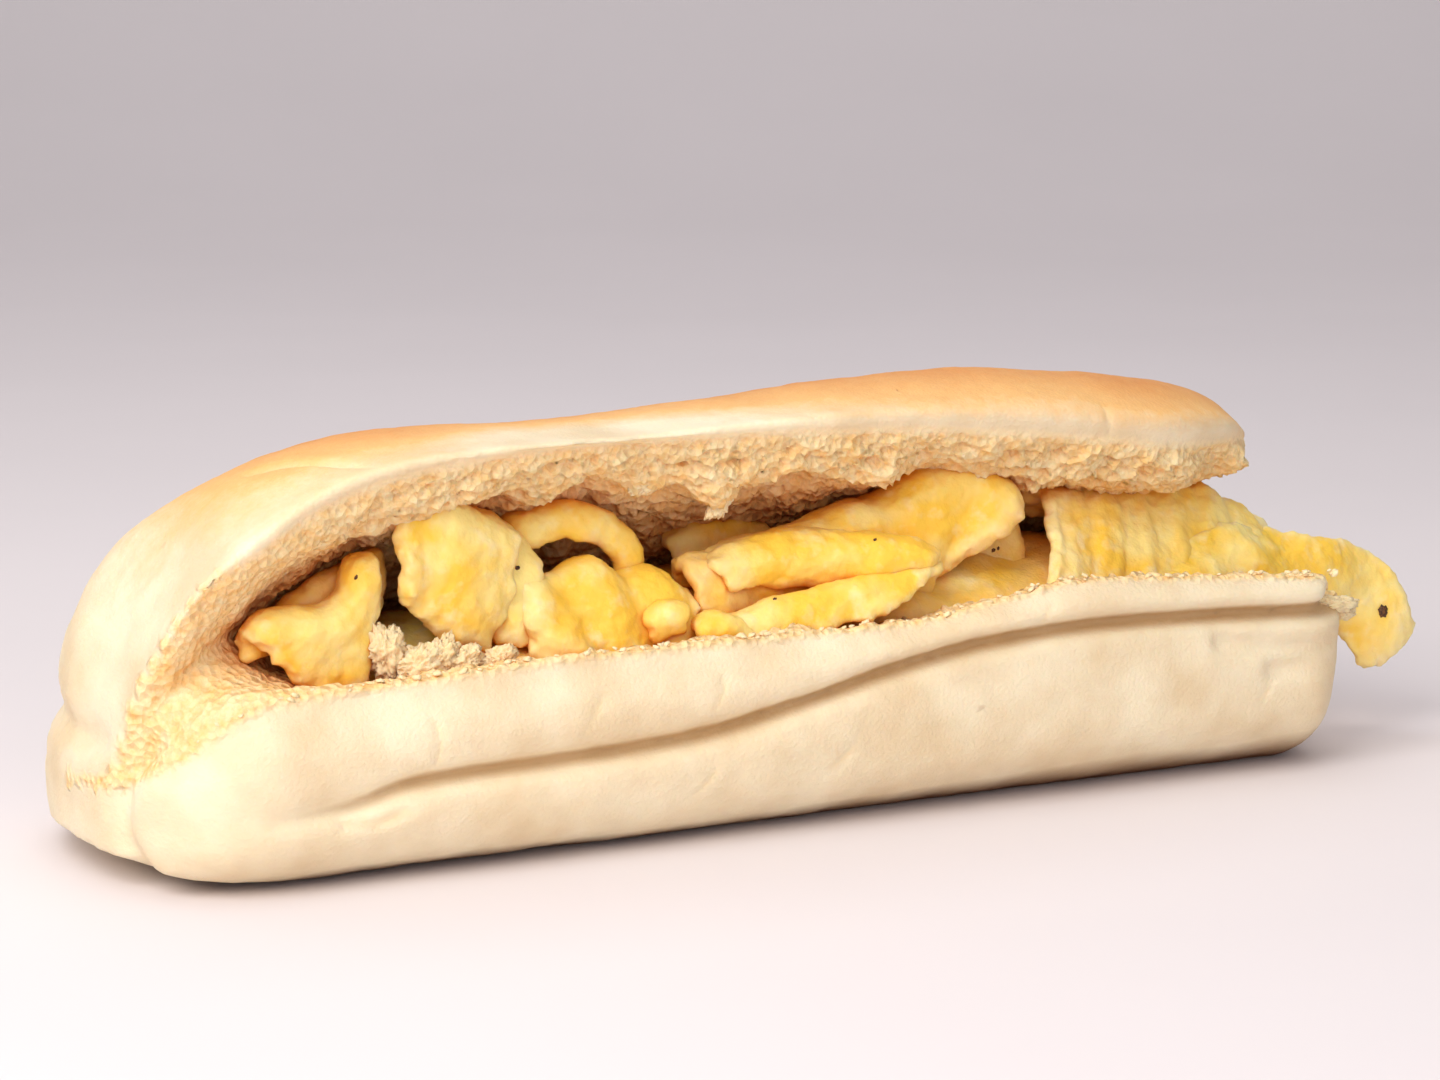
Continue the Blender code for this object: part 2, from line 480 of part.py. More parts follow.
# The omelette's pieces, front ones first. A crest is the top line of the fold, in x, y and z; front and
# back are how far the sheet hangs on each side of it; fall is how far it bends down there, in degrees;
# lean tips it forward; pleats are (height, waves along it, slant), frill is (height, waves) of its edge,
# and grid is its mesh.
EGG_PIECES = {
    "egg_big_flap": {
        "colour": "#FED46A", "crest": [(-54.5, -13, 42.5), (-51.5, -12.5, 44.6), (-47, -12.5, 43.4),
        (-42.5, -12.5, 41.8), (-38.5, -12.5, 38.5)], "front": [(0, 15), (0.3, 20), (0.65, 19), (1, 10)],
        "radius": 3.4, "fall": 74, "belly": 36, "back": 5, "back_fall": 50, "rounding": 0.7, "thick": 3.2,
        "pleats": (0.4, 1.3, 0.6), "frill": (0.8, 6), "seed": 3.0, "grid": (13, 14),
    },
    "egg_left_fold": {
        "colour": "#FBC75D", "crest": [(-74.5, -13.5, 29), (-71.5, -13.5, 31.4), (-67, -13.5, 31.8),
        (-63, -13.5, 31.4), (-59.6, -13, 33.4), (-57.6, -12.5, 37.2), (-55.6, -12.5, 37.6)],
        "front": [(0, 9), (0.5, 12.5), (1, 17)], "radius": 2.2, "fall": 96, "belly": 10, "curl": -25,
        "back": 6, "back_fall": 95, "rounding": 0.3, "thick": 3.0, "frill": (0.4, 3), "seed": 2.0,
        "grid": (13, 11),
    },
    "egg_long_roll": {
        "colour": "#FBC458", "crest": [(-11.5, -8.5, 33), (-8.5, -9, 32.6), (-2, -8.5, 34.6),
        (7, -8, 36.6), (15, -8, 37.6), (21, -8, 40), (26.5, -8, 42.6), (31, -8, 42.4), (34, -8.5, 40),
        (35.2, -9, 36.5)], "front": [(0, 9), (0.45, 13), (0.65, 18), (0.85, 20), (1, 10)], "radius": 4.4,
        "fall": 72, "belly": 24, "back": 8, "back_radius": 3.5, "back_fall": 60, "skew": [(0, -4),
        (0.6, -6), (1, -12)], "rounding": 0.35, "pleats": (0.25, 4.3, 0.5), "frill": (0.5, 7),
        "seed": 7.0, "grid": (20, 12),
    },
    "egg_front_flap": {
        "colour": "#FCCB62", "crest": [(-9, -11, 31), (-2, -12.5, 33), (5, -15.5, 34.8), (12, -16.5, 35),
        (17.5, -17, 34.2), (20.8, -17.5, 32)], "front": [(0, 6), (0.6, 8), (1, 4.5)], "radius": 2.6,
        "fall": 100, "belly": 20, "back": 4, "back_fall": 15, "thick": 2.8, "frill": (0.4, 4),
        "seed": 8.0, "grid": (15, 10),
    },
    "egg_lower_lip": {
        "colour": "#F7C56A", "crest": [(-9.5, -18.2, 26.5), (-3, -18.6, 28.4), (4, -19, 29.6),
        (11, -19.2, 30.2), (17.5, -19, 31.8)], "front": [(0, 3.5), (0.6, 5.5), (1, 4)], "radius": 1.6,
        "fall": 70, "belly": 15, "back": 3, "back_fall": 80, "thick": 2.2, "frill": (0.5, 6), "seed": 6.0,
        "grid": (13, 8),
    },
    "egg_pleated": {
        "colour": "#EFC26C", "crest": [(41.5, -7, 37.8), (46, -4.5, 37.8), (54, -2, 36.9), (62, -1, 36.8),
        (70, -1, 35.6), (75.5, -2, 33.2), (80, -3, 30)], "front": [(0, 20), (0.4, 21), (1, 14)],
        "radius": 5.5, "fall": 44, "belly": 14, "back": 6, "back_fall": 35, "skew": [(0, -17), (0.5, -9),
        (1, -4)], "rounding": 0.25, "pleats": (0.3, 6.4, 0.35), "frill": (0.7, 3), "seed": 10.0,
        "grid": (21, 12),
    },
    "egg_tail": {
        "colour": "#E4BC66", "crest": [(58, -17, 27.5), (66, -14, 30.8), (75, -11.5, 29.4),
        (83.5, -10.2, 26.2), (91, -10, 21.5), (96, -10.5, 14.5), (98.5, -11, 7.8)], "front": [(0, 4),
        (0.5, 6), (0.75, 6.5), (1, 5)], "radius": 3.0, "fall": 10, "belly": 8, "back": [(0, 4),
        (0.5, 5.5), (0.8, 8.5), (1, 6)], "back_fall": 12, "lean": [(0, 40), (0.45, 45), (0.62, 60),
        (0.8, 85), (1, 95)], "rounding": 0.6, "thick": 2.4, "pleats": (0.4, 3.0, 0.3), "frill": (0.5, 6),
        "square": True, "seed": 12.0, "grid": (22, 8),
    },
    "egg_crumple": {
        "colour": "#EEBB60", "crest": [(-36, -13, 32), (-32, -12, 32.8), (-27, -11.5, 33.4),
        (-21.5, -11, 32.5), (-17, -11, 31.7), (-12, -11, 30.2)], "front": [(0, 12), (0.5, 13), (1, 9)],
        "radius": 2.8, "fall": 64, "belly": 10, "back": 6, "back_fall": 50, "pleats": (0.6, 2.3, 0.6),
        "frill": (0.6, 5), "seed": 5.0, "grid": (16, 10),
    },
    "egg_arch": {
        "colour": "#E2A43B", "crest": [(-35, 1, 38), (-31.4, 0, 40), (-26, 0, 40.4), (-21.2, -0.5, 39),
        (-17.7, -1, 36), (-15.2, -1.5, 32.6), (-15.8, -2, 29.5)], "front": 5.5, "radius": 2.4, "fall": 85,
        "belly": 15, "back": 3, "back_fall": 40, "rounding": 0.1, "frill": (0.3, 3), "square": True,
        "seed": 4.0, "grid": (14, 7),
    },
    "egg_side_fold": {
        "colour": "#EDB34C", "crest": [(-42, -8.5, 41.8), (-38.5, -9, 40.6), (-35.8, -9.5, 37.8),
        (-33.2, -10, 34)], "front": [(0, 16), (0.6, 14), (1, 9)], "radius": 2.6, "fall": 84, "belly": 8,
        "back": 3, "rounding": 0.3, "seed": 13.0, "grid": (8, 9),
    },
    "egg_roll_back": {
        "colour": "#E0A542", "crest": [(27, -3, 40), (32, -3, 41.2), (36.5, -3.2, 40), (39.6, -3.6, 36.5),
        (41.2, -4, 31.5)], "front": [(0, 12), (0.5, 14), (1, 7)], "radius": 2.2, "fall": 88, "back": 3,
        "rounding": 0.3, "seed": 14.0, "grid": (9, 8),
    },
    "egg_left_back": {
        "colour": "#E3A840", "crest": [(-67, -6, 29.6), (-61.5, -6, 32.4), (-56, -6, 35.4),
        (-52, -6, 37)], "front": 8, "radius": 1.4, "fall": 80, "back": 3, "seed": 15.0, "grid": (8, 6),
    },
    "egg_nub_left": {
        "colour": "#F2BC58", "crest": [(-18.5, -15.5, 27.6), (-15.5, -16, 29.4), (-12, -16, 28.4)],
        "front": 5, "radius": 1.7, "fall": 95, "belly": 20, "back": 3, "rounding": 0.8, "thick": 2.4,
        "frill": (0.4, 2), "seed": 16.0, "grid": (7, 7),
    },
    "egg_nub_right": {
        "colour": "#F4C060", "crest": [(-12, -18, 26.8), (-8.5, -18.6, 28), (-4, -18.8, 27.2),
        (-1, -19, 25)], "front": 4, "radius": 1.6, "fall": 95, "belly": 10, "back": 2.5, "rounding": 0.8,
        "thick": 2.2, "frill": (0.3, 2), "seed": 17.0, "grid": (8, 6),
    },
    "egg_back_sliver": {
        "colour": "#DDA03C", "crest": [(-9, 3, 32.6), (-4.5, 3, 34.4), (1, 3, 34.6), (6, 3.5, 33)],
        "front": 6, "radius": 1.8, "fall": 80, "back": 3, "seed": 9.0, "grid": (7, 6),
    },
    "egg_bed": {
        "colour": "#E3A53E", "crest": [(-62, -2, 20), (-45, -2, 22.6), (-25, -2, 24.2), (0, -2, 25.2),
        (40, -2, 25.6), (62, -2, 24.8), (77, -2, 22.5)], "front": 16, "radius": 14, "fall": 22,
        "back": 14, "back_radius": 20, "back_fall": 10, "rounding": 0.35, "thick": 10.0,
        "pleats": (0.5, 9.0, 0.4), "seed": 1.0, "grid": (17, 8),
    },
}


def linear_colour(code):
    """The linear red, green, blue and alpha of an sRGB colour code such as "#FFCC66"."""
    parts = [int(code[i : i + 2], 16) / 255 for i in (1, 3, 5)]
    return (*(((c + 0.055) / 1.055) ** 2.4 if c > 0.04045 else c / 12.92 for c in parts), 1.0)


def food_material(name, colour, roughness):
    """A plain baked or cooked surface of one colour."""
    material = bpy.data.materials.new(name)
    material.use_nodes = True
    shader = material.node_tree.nodes["Principled BSDF"]
    shader.inputs["Base Color"].default_value = linear_colour(colour)
    shader.inputs["Roughness"].default_value = roughness
    shader.inputs["Metallic"].default_value = 0.0
    return material


def keep_largest(made):
    """Drops the loose scraps that cutting leaves, and splits every face into triangles."""
    body = bmesh.new()
    body.from_mesh(made.data)
    bmesh.ops.triangulate(body, faces=body.faces[:])
    islands = []
    unseen = set(body.verts)
    while unseen:
        island, edge = set(), [unseen.pop()]
        while edge:
            vert = edge.pop()
            island.add(vert)
            near = [e.other_vert(vert) for e in vert.link_edges]
            edge += [v for v in near if v in unseen]
            unseen.difference_update(near)
        islands.append(island)
    islands.sort(key=len, reverse=True)
    for scrap in islands[1:]:
        bmesh.ops.delete(body, geom=list(scrap), context="VERTS")
    body.to_mesh(made.data)
    body.free()


def cut_clear(target, cutters):
    """Takes the cutters' shapes out of the target, and keeps the largest piece that is left."""
    for cutter in cutters:
        modifier = target.modifiers.new("clear_" + cutter.name, "BOOLEAN")
        modifier.operation = "DIFFERENCE"
        modifier.solver = "MANIFOLD"
        modifier.object = cutter
    apply_modifiers(target)
    keep_largest(target)


def grown_copy(made, grow):
    """A copy of the solid whose skin stands this much farther out."""
    mesh = made.data.copy()
    for vert, normal in zip(mesh.vertices, [v.normal.copy() for v in mesh.vertices]):
        vert.co += normal * grow * MM
    copy = bpy.data.objects.new(made.name + "_grown", mesh)
    bpy.context.scene.collection.objects.link(copy)
    return copy


def table_block(material):
    """A block under the table's surface, which gives the roll its flat foot."""
    long, wide, deep = TABLE_REACH
    corners = [(x, y, z) for x in (-long, long) for y in (-wide, wide) for z in (-deep, 0)]
    sides = [(0, 1, 3, 2), (4, 6, 7, 5), (0, 4, 5, 1), (2, 3, 7, 6), (0, 2, 6, 4), (1, 5, 7, 3)]
    return mesh_object("table_block", corners, sides, material)


def centre_on_base(objects):
    """Moves the whole part so that the middle of its box's underside is the origin."""
    spots = np.array([v.co[:] for made in objects for v in made.data.vertices])
    low, high = spots.min(axis=0), spots.max(axis=0)
    shift = Vector((-(low[0] + high[0]) / 2, -(low[1] + high[1]) / 2, -low[2]))
    for made in objects:
        for vert in made.data.vertices:
            vert.co += shift
        made.data.update()


def main():
    for old in list(bpy.data.objects):
        bpy.data.objects.remove(old)
    crust = food_material("baked_roll", CRUST_COLOUR, CRUST_ROUGHNESS)

    points, normals, faces = roll_shape()
    roll = mesh_object("split_roll", points - [0, 0, FOOT_CUT], faces, crust)
    skin_over(roll, ROLL_VOXEL)
    keep_faces(roll, ROLL_TRIANGLES)
    block = table_block(crust)
    cut_clear(roll, [block])
    bpy.data.objects.remove(block)
    roll_cutter = mesh_object("roll_cutter", points - [0, 0, FOOT_CUT] + normals * CLEARANCE, faces, crust)
    skin_over(roll_cutter, ROLL_VOXEL)

    cutters = [roll_cutter]
    finished = [grown_copy(roll, LEAST_GAP)]
    parts = [roll]
    for name, piece in EGG_PIECES.items():
        egg = food_material("omelette_" + name[4:], piece["colour"], EGG_ROUGHNESS)
        along, across = (EGG_FINENESS * count for count in piece["grid"])
        made = mesh_object(name, *sheet_mesh(piece, along, across), egg)
        skin_over(made, EGG_VOXEL)
        cut_clear(made, cutters)
        keep_faces(made, FACES_A_CELL * piece["grid"][0] * piece["grid"][1])
        cut_clear(made, finished)
        cutter = mesh_object(name + "_cutter", *sheet_mesh(piece, along, across, CLEARANCE), egg)
        skin_over(cutter, EGG_VOXEL)
        cutters.append(cutter)
        finished.append(grown_copy(made, LEAST_GAP))
        parts.append(made)
    for cutter in cutters + finished:
        bpy.data.objects.remove(cutter)
    centre_on_base(parts)
    for made in parts:
        made.data.shade_smooth()


main()
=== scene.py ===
"""Egg breakfast sandwich, dressed: a soft split roll with torn crumb, filled with folded omelette.

Sizes are in millimetres until a mesh is made. They are measured from the middle of the roll: X runs along it
from its closed end, the slit faces -Y and Z is up from the table. SHIFT takes them into the frame's own axes.
"""

import math

import bmesh
import bpy
import numpy as np
from bpy.props import FloatProperty, FloatVectorProperty, PointerProperty
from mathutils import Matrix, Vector, kdtree, noise


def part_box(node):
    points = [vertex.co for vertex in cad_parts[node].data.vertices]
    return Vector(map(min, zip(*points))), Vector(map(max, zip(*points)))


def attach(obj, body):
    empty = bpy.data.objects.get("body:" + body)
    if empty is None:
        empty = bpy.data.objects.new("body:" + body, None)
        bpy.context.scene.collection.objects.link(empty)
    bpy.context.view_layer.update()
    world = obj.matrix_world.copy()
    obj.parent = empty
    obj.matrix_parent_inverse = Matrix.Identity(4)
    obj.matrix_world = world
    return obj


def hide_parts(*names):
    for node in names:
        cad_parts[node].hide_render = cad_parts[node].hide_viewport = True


bl_info = {
    "name": "Breakfast Sandwich",
    "version": (1, 0, 0),
    "blender": (4, 5, 0),
    "location": "3D View > Sidebar > Sandwich",
    "description": "Makes a soft split roll filled with folded omelette",
    "category": "Add Mesh",
}

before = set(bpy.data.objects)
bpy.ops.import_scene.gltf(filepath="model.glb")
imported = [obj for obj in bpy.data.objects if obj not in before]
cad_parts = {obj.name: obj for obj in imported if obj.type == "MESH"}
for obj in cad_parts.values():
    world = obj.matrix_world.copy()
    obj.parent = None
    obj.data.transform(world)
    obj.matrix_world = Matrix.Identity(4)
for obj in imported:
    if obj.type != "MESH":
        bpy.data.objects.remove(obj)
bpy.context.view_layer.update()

MM = 0.001
CLOSED_END = -91.0
OPEN_END = 83.0
ROLL_BOX = [(1000 * corner).to_tuple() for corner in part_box("split_roll")]
SHIFT = np.array([(ROLL_BOX[0][0] + ROLL_BOX[1][0] - CLOSED_END - OPEN_END) / 2, 0.2, 0.0])
FOOT_CUT = 0.4  # pressed off the underside, where the roll's own weight flattens it

# The roll
HALF_WIDTH = 27.0
CLOSED_ROUNDING = 20.0  # length over which the closed end rounds off
CLOSED_POWER = 2.4  # a blunt end: 2 would be an ellipse
OPEN_ROUNDING = 8.0
OPEN_DOME = 3.6  # how far the open end's sides stand back from its middle
LID_SHORTER = 9.0  # the lid ends this far before the base
BAND_SHORTER = 3.4  # so does the band of crust above the crease
BELLY_HEIGHT = 11.0  # the base is widest here
FOOT_SHARE = 0.62  # share of the width that rests flat on the table
LIP_INSET = 2.6  # the base's cut edge stands this far inside the widest line
LIP_WALL = 4.5  # thickness of the base's front wall at its top
TROUGH_DEPTH = 8.0  # how far the filling's bed lies below the lip
LID_THICKNESS = 15.0
HINGE_INSET = 7.5  # bread left between the slit and the back
HINGE_GROOVE = 1.6
CREASE_WIDTH = 1.1
LID_FROM = 24.0  # the section counts as lid above this height, and fully so LID_BLEND higher
LID_BLEND = 12.0
END_SLANT = 26.0  # length over which the open end's setbacks come in
OUTER_CLOSING = 0.8  # share by which the crust and the crumb draw together at the open end's face
INNER_CLOSING = 0.5

# Heights, depths and sides along the roll, as (x, value)
LIP_HEIGHT = [(-91, 12), (-88.5, 14.6), (-85, 16.8), (-82, 19.4), (-78, 22.6), (-74, 24.2), (-60, 25),
              (-30, 26.1), (12, 26), (26, 27.8), (38, 29.4), (55, 28.2), (82, 26.4)]
CREASE_HEIGHT = [(-91, 9.5), (-66, 10.8), (-56, 13), (-30, 13.9), (-18, 14.8), (-4, 17.4), (10, 20.5),
                 (24, 22.6), (40, 23.4), (60, 22.9), (82, 21.8)]
CREASE_DEPTH = [(-76, 0), (-66, 1.4), (-56, 2.2), (0, 2.6), (82, 3.0)]
LID_EDGE_HEIGHT = [(-91, 12.4), (-89.4, 14.2), (-88.2, 18.5), (-87, 25), (-85, 29.5), (-82, 35),
                   (-79, 38.5), (-73, 41.8), (-66, 45.8), (-59, 48.3), (-48, 50), (-34, 51), (-12, 50.9),
                   (17, 49.5), (30, 48.2), (43, 46.5), (56, 44.6), (82, 43)]
LID_EDGE_SIDE = [(-91, -22), (-70, -21.5), (-20, -20), (50, -19), (66, -15), (82, -9)]
CROWN_HEIGHT = [(-91, 15), (-89.5, 20), (-87, 26), (-84, 32.5), (-80.6, 37.8), (-76, 43.2), (-70, 47.8),
                (-62, 50.8), (-50, 52.3), (-30, 51.9), (-10, 52.8), (12, 54.4), (30, 54.8), (45, 53.6),
                (60, 51.7), (72, 49.5), (82, 46.5)]
HINGE_HEIGHT = [(-91, 14), (-84, 18), (-70, 22), (-20, 24), (82, 24)]
SLIT_DEPTH = [(-91, 0.02), (-88, 0.05), (-84, 0.1), (-78, 0.2), (-72, 0.34), (-66, 0.54), (-60, 0.78), (-53, 1.0),
              (82, 1.0)]
FOOT_LIFT = [(-91, 5.0), (-84, 2.8), (-79, 1.2), (-74, 0.3), (-70, 0), (74, 0), (82, 1.0)]
CUT_FACE = [(-91, 0), (-80, 1.2), (-64, 2.8), (-46, 2.8), (-36, 1.8), (-22, 1.8), (-12, 3.4), (8, 3.4),
            (18, 1.6), (36, 1.4), (44, 3.0), (82, 2.4)]

# Lines pressed into the crust, as (depth, width, points)
END_TEAR = (2.8, 1.7, [(-87, -17, 18.5), (-90, -14, 13), (-90, -15, 6), (-86, -16, 0)])
HINGE_PRESS = (2.0, 2.2, [(-88.5, -8, 17.5), (-91, 0, 17.5), (-89, 13, 18), (-82, 22, 19)])
UPPER_PRESS = (1.2, 1.2, [(58, -27, 19.2), (70, -27.5, 17.4), (83, -26, 16.8)])
LOWER_PRESS = (1.0, 1.0, [(66, -27.4, 14.6), (74, -27.4, 14.8), (83, -26.5, 14.2)])

RING_STEPS = 130
STATION_GAP = 1.3
CREASE_PULL = 4.0
ROLL_TRIANGLES = 192000
SHEET_THICKNESS = 2.6
SKEW_GROWTH = 1.6  # a skewed sheet slides along its crest faster and faster towards its edge
SHEET_RIM = 0.62
EGG_GRAIN = 7.0
EGG_RELIEF = 0.45
EGG_FINENESS = 4


def linear(code):
    """The linear red, green and blue of an sRGB colour code such as "#FFCC66"."""
    parts = [int(code[i : i + 2], 16) / 255 for i in (1, 3, 5)]
    return tuple(((c + 0.055) / 1.055) ** 2.4 if c > 0.04045 else c / 12.92 for c in parts)


def hermite(x, at, value, slope):
    """The cubic through (at, value) with these slopes, held level past both ends."""
    x = np.clip(x, at[0], at[-1])
    i = np.clip(np.searchsorted(at, x) - 1, 0, len(at) - 2)
    span = at[i + 1] - at[i]
    t = (x - at[i]) / span
    rest = 1 - t
    return (
        value[i] * rest * rest * (1 + 2 * t)
        + value[i + 1] * t * t * (3 - 2 * t)
        + span * t * rest * (slope[i] * rest - slope[i + 1] * t)
    )


def smooth_keys(x, keys):
    """A smooth curve through (x, value) keys that never overshoots them."""
    at, value = np.array(keys, float).T
    secant = np.diff(value) / np.diff(at)
    slope = np.zeros(len(at))
    same_way = secant[:-1] * secant[1:] > 0
    slope[1:-1][same_way] = (2 * secant[:-1] * secant[1:] / (secant[:-1] + secant[1:] + 1e-12))[same_way]
    slope[0], slope[-1] = secant[0], secant[-1]
    return hermite(x, at, value, slope)


def smooth_path(points, count):
    """count points, evenly spaced along a smooth curve through the given ones."""
    points = np.asarray(points, float)
    at = np.concatenate([[0], np.cumsum(np.linalg.norm(np.diff(points, axis=0), axis=1))])
    fine = np.linspace(0, at[-1], 12 * count)
    slopes = np.gradient(points, at, axis=0)
    curve = np.stack([hermite(fine, at, *column) for column in zip(points.T, slopes.T)], axis=1)
    walked = np.concatenate([[0], np.cumsum(np.linalg.norm(np.diff(curve, axis=0), axis=1))])
    even = np.linspace(0, walked[-1], count)
    return np.stack([np.interp(even, walked, column) for column in curve.T], axis=1)


def end_rounding(x):
    """The section's share of its full width: 0 at the closed end, 1 past the rounding."""
    t = np.clip((x - CLOSED_END) / CLOSED_ROUNDING, 0, 1)
    return (1 - (1 - t) ** CLOSED_POWER) ** (1 / CLOSED_POWER)


def base_wall(share, z):
    """Half width of the base at height z: a flat foot that rounds out to the belly."""
    drop = max(0.0, (BELLY_HEIGHT - z) / BELLY_HEIGHT)
    round_out = math.sqrt(max(0.0, 1 - drop * drop))
    return HALF_WIDTH * share * (FOOT_SHARE + (1 - FOOT_SHARE) * round_out)


def section(x):
    """The section at x, as (outer, inner) lines of (y, z), both from the base's lip to the lid's edge."""
    share = float(end_rounding(x))
    heights = (LIP_HEIGHT, CREASE_HEIGHT, LID_EDGE_HEIGHT, CROWN_HEIGHT, HINGE_HEIGHT, FOOT_LIFT)
    lip_z, crease_z, edge_z, crown_z, hinge_z, foot = (float(smooth_keys(x, keys)) for keys in heights)
    slit = float(smooth_keys(x, SLIT_DEPTH))
    cut_face = float(smooth_keys(x, CUT_FACE))
    edge_y = float(smooth_keys(x, LID_EDGE_SIDE)) * share
    half = HALF_WIDTH * share
    lip = np.array([-half + LIP_INSET * share, lip_z])
    edge = np.array([edge_y, edge_z])
    back_y = half - HINGE_INSET * share
    hinge = np.array([back_y, hinge_z])

    def front(z, push=0.0):
        return [-base_wall(share, z) + push * share, max(z, foot)]

    lower = [lip, front(0.45 * lip_z + 0.55 * crease_z, -0.3), front(crease_z), front(crease_z * 0.7, -0.5),
             front(crease_z * 0.34)]
    foot_y = half * FOOT_SHARE
    foot_line = [[-foot_y * 0.92, foot], [0, foot], [foot_y * 0.92, foot]]
    back = [[base_wall(share, 4.0), max(4.0, foot)], [half, max(BELLY_HEIGHT, foot + 1)],
            [half - 0.6 * share, hinge_z - 5.0], [half - (0.6 + HINGE_GROOVE) * share, hinge_z]]
    chord = edge - hinge
    across = np.array([-chord[1], chord[0]])
    across = across / max(np.linalg.norm(across), 1e-6)
    if across[1] < 0:
        across = -across
    rise = max(crown_z - edge_z, 1.0)
    lid = [
        hinge + 0.02 * chord + across * LID_THICKNESS * 0.62 * share,
        hinge + 0.26 * chord + across * LID_THICKNESS * 0.98 * share,
        [0.16 * half + 0.4 * edge_y, crown_z],
        [0.78 * edge_y, edge_z + 0.80 * rise],
        [edge_y - 1.1 * share, edge_z + 0.38 * rise],
        edge,
    ]
    outer = np.array([*lower, *foot_line, *back, *lid], float)

    trough_z = lip_z - TROUGH_DEPTH
    wall_y = lip[0] + LIP_WALL * share
    deep = np.array([
        lip, [wall_y, lip_z - 1.6], [wall_y + 3.0 * share, trough_z + 2.0], [-0.1 * half, trough_z],
        [0.5 * back_y + 1, trough_z + 1.5], hinge - [0, 1.5], hinge + 0.24 * chord + across * 0.4,
        hinge + 0.50 * chord - across * 0.05 * cut_face, hinge + 0.72 * chord - across * 0.45 * cut_face,
        hinge + 0.87 * chord - across * cut_face, edge,
    ], float)
    shut = lip + np.linspace(0, 1, len(deep))[:, None] * (edge - lip)
    return outer, shut + slit * (deep - shut)


def crease_at(x, curve):
    """How much of the front wall's crease is felt at each (y, z) point of a section."""
    gap = (curve[:, 1] - float(smooth_keys(x, CREASE_HEIGHT))) / CREASE_WIDTH
    return np.exp(-(gap**2)) * (curve[:, 0] < 0)


def outer_line(x, outer, count):
    """count + 1 points along the outside of the section, closest together by the pressed crease."""
    curve = smooth_path(outer, 12 * count)
    curve[:, 1] = np.maximum(curve[:, 1], outer[:, 1].min())
    steps = np.linalg.norm(np.diff(curve, axis=0), axis=1)
    pull = 1 + CREASE_PULL * crease_at(x, 0.5 * (curve[1:] + curve[:-1])) ** 0.5
    walked = np.concatenate([[0], np.cumsum(steps * pull)])
    even = np.linspace(0, walked[-1], count + 1)
    line = np.stack([np.interp(even, walked, column) for column in curve.T], axis=1)
    line[:, 0] += crease_at(x, line) * float(smooth_keys(x, CREASE_DEPTH))
    return line


def stations():
    """Places along the roll, closer together where its ends round off."""
    turns = np.linspace(0, math.pi / 2, 20)[1:]
    rounded = CLOSED_END + CLOSED_ROUNDING * (1 - np.cos(turns)) ** 1.1
    straight = np.arange(rounded[-1], OPEN_END - OPEN_ROUNDING, STATION_GAP)[1:]
    last = OPEN_END - OPEN_ROUNDING * np.array([0.85, 0.72, 0.58, 0.45, 0.32, 0.2, 0.1, 0.03])
    return np.concatenate([rounded, straight, last])


def end_setback(line, upper_half):
    """How far each (y, z) point of the open end stands back from the base's farthest point."""
    is_lid = np.clip((line[:, 1] - LID_FROM) / LID_BLEND, 0, 1) * upper_half
    dome = OPEN_DOME * (np.abs(line[:, 0]) / HALF_WIDTH) ** 2.5
    above_crease = line[:, 1] > smooth_keys(OPEN_END, CREASE_HEIGHT)
    band = BAND_SHORTER * (line[:, 0] < -0.7 * HALF_WIDTH) * above_crease
    return dome + np.where(is_lid > 0, LID_SHORTER * is_lid, band)


def roll_points():
    """(points, faces) of the bread: rings round the section, a strip over each end."""
    xs = stations()
    steps = RING_STEPS
    ring = 2 * steps
    points = []
    for x in xs:
        outer, inner = section(x)
        outer = outer_line(x, outer, steps)
        inner = smooth_path(inner, steps + 1)
        upper_half = np.arange(steps + 1) > steps / 2
        near_end = np.clip((x - (OPEN_END - END_SLANT)) / END_SLANT, 0, 1) ** 1.5
        outer_x = x - near_end * end_setback(outer, upper_half)
        inner_x = x - near_end * end_setback(inner, upper_half)
        turn = np.clip((x - (OPEN_END - OPEN_ROUNDING)) / OPEN_ROUNDING, 0, 1)
        closing = 1 - math.sqrt(1 - turn * turn)
        middle = 0.5 * (outer + inner)
        outer = outer + (middle - outer) * OUTER_CLOSING * closing
        inner = inner + (middle - inner) * INNER_CLOSING * closing
        outside = np.column_stack([outer_x, outer])
        inside = np.column_stack([inner_x, inner])
        points.append(np.vstack([outside, inside[-2:0:-1]]))
    points = np.array(points)
    count = len(xs)
    faces = []
    for i in range(count - 1):
        for j in range(ring):
            k = (j + 1) % ring
            faces.append([i * ring + j, i * ring + k, (i + 1) * ring + k, (i + 1) * ring + j])
    last = (count - 1) * ring
    for first, flip in ((0, True), (last, False)):
        for j in range(steps):
            a, b = first + j, first + j + 1
            c, d = first + (ring - j - 1) % ring, first + (ring - j) % ring
            face = [v for n, v in enumerate((a, b, c, d)) if v not in (a, b, c, d)[:n]]
            faces.append(face[::-1] if flip else face)
    return points.reshape(-1, 3), faces


def along_line(points, marks, width):
    """How close each point is to a line through the marks: 1 on it, falling off over width."""
    path = smooth_path(marks, 40)
    gap = np.full(len(points), 1e9)
    for start in range(0, len(points), 20000):
        block = points[start : start + 20000]
        gap[start : start + 20000] = np.min(np.linalg.norm(block[:, None, :] - path[None, :, :], axis=2), axis=1)
    return np.exp(-((gap / width) ** 2))


def relief(points, grain, seed, octaves=3):
    """Smooth noise, mostly between -1 and 1, at each point, of the given grain size."""
    offset = Vector((seed, 1.7 * seed, 0.3 * seed))
    return np.array([noise.fractal(Vector(p) / grain + offset, 0.6, 2.0, octaves) for p in points])


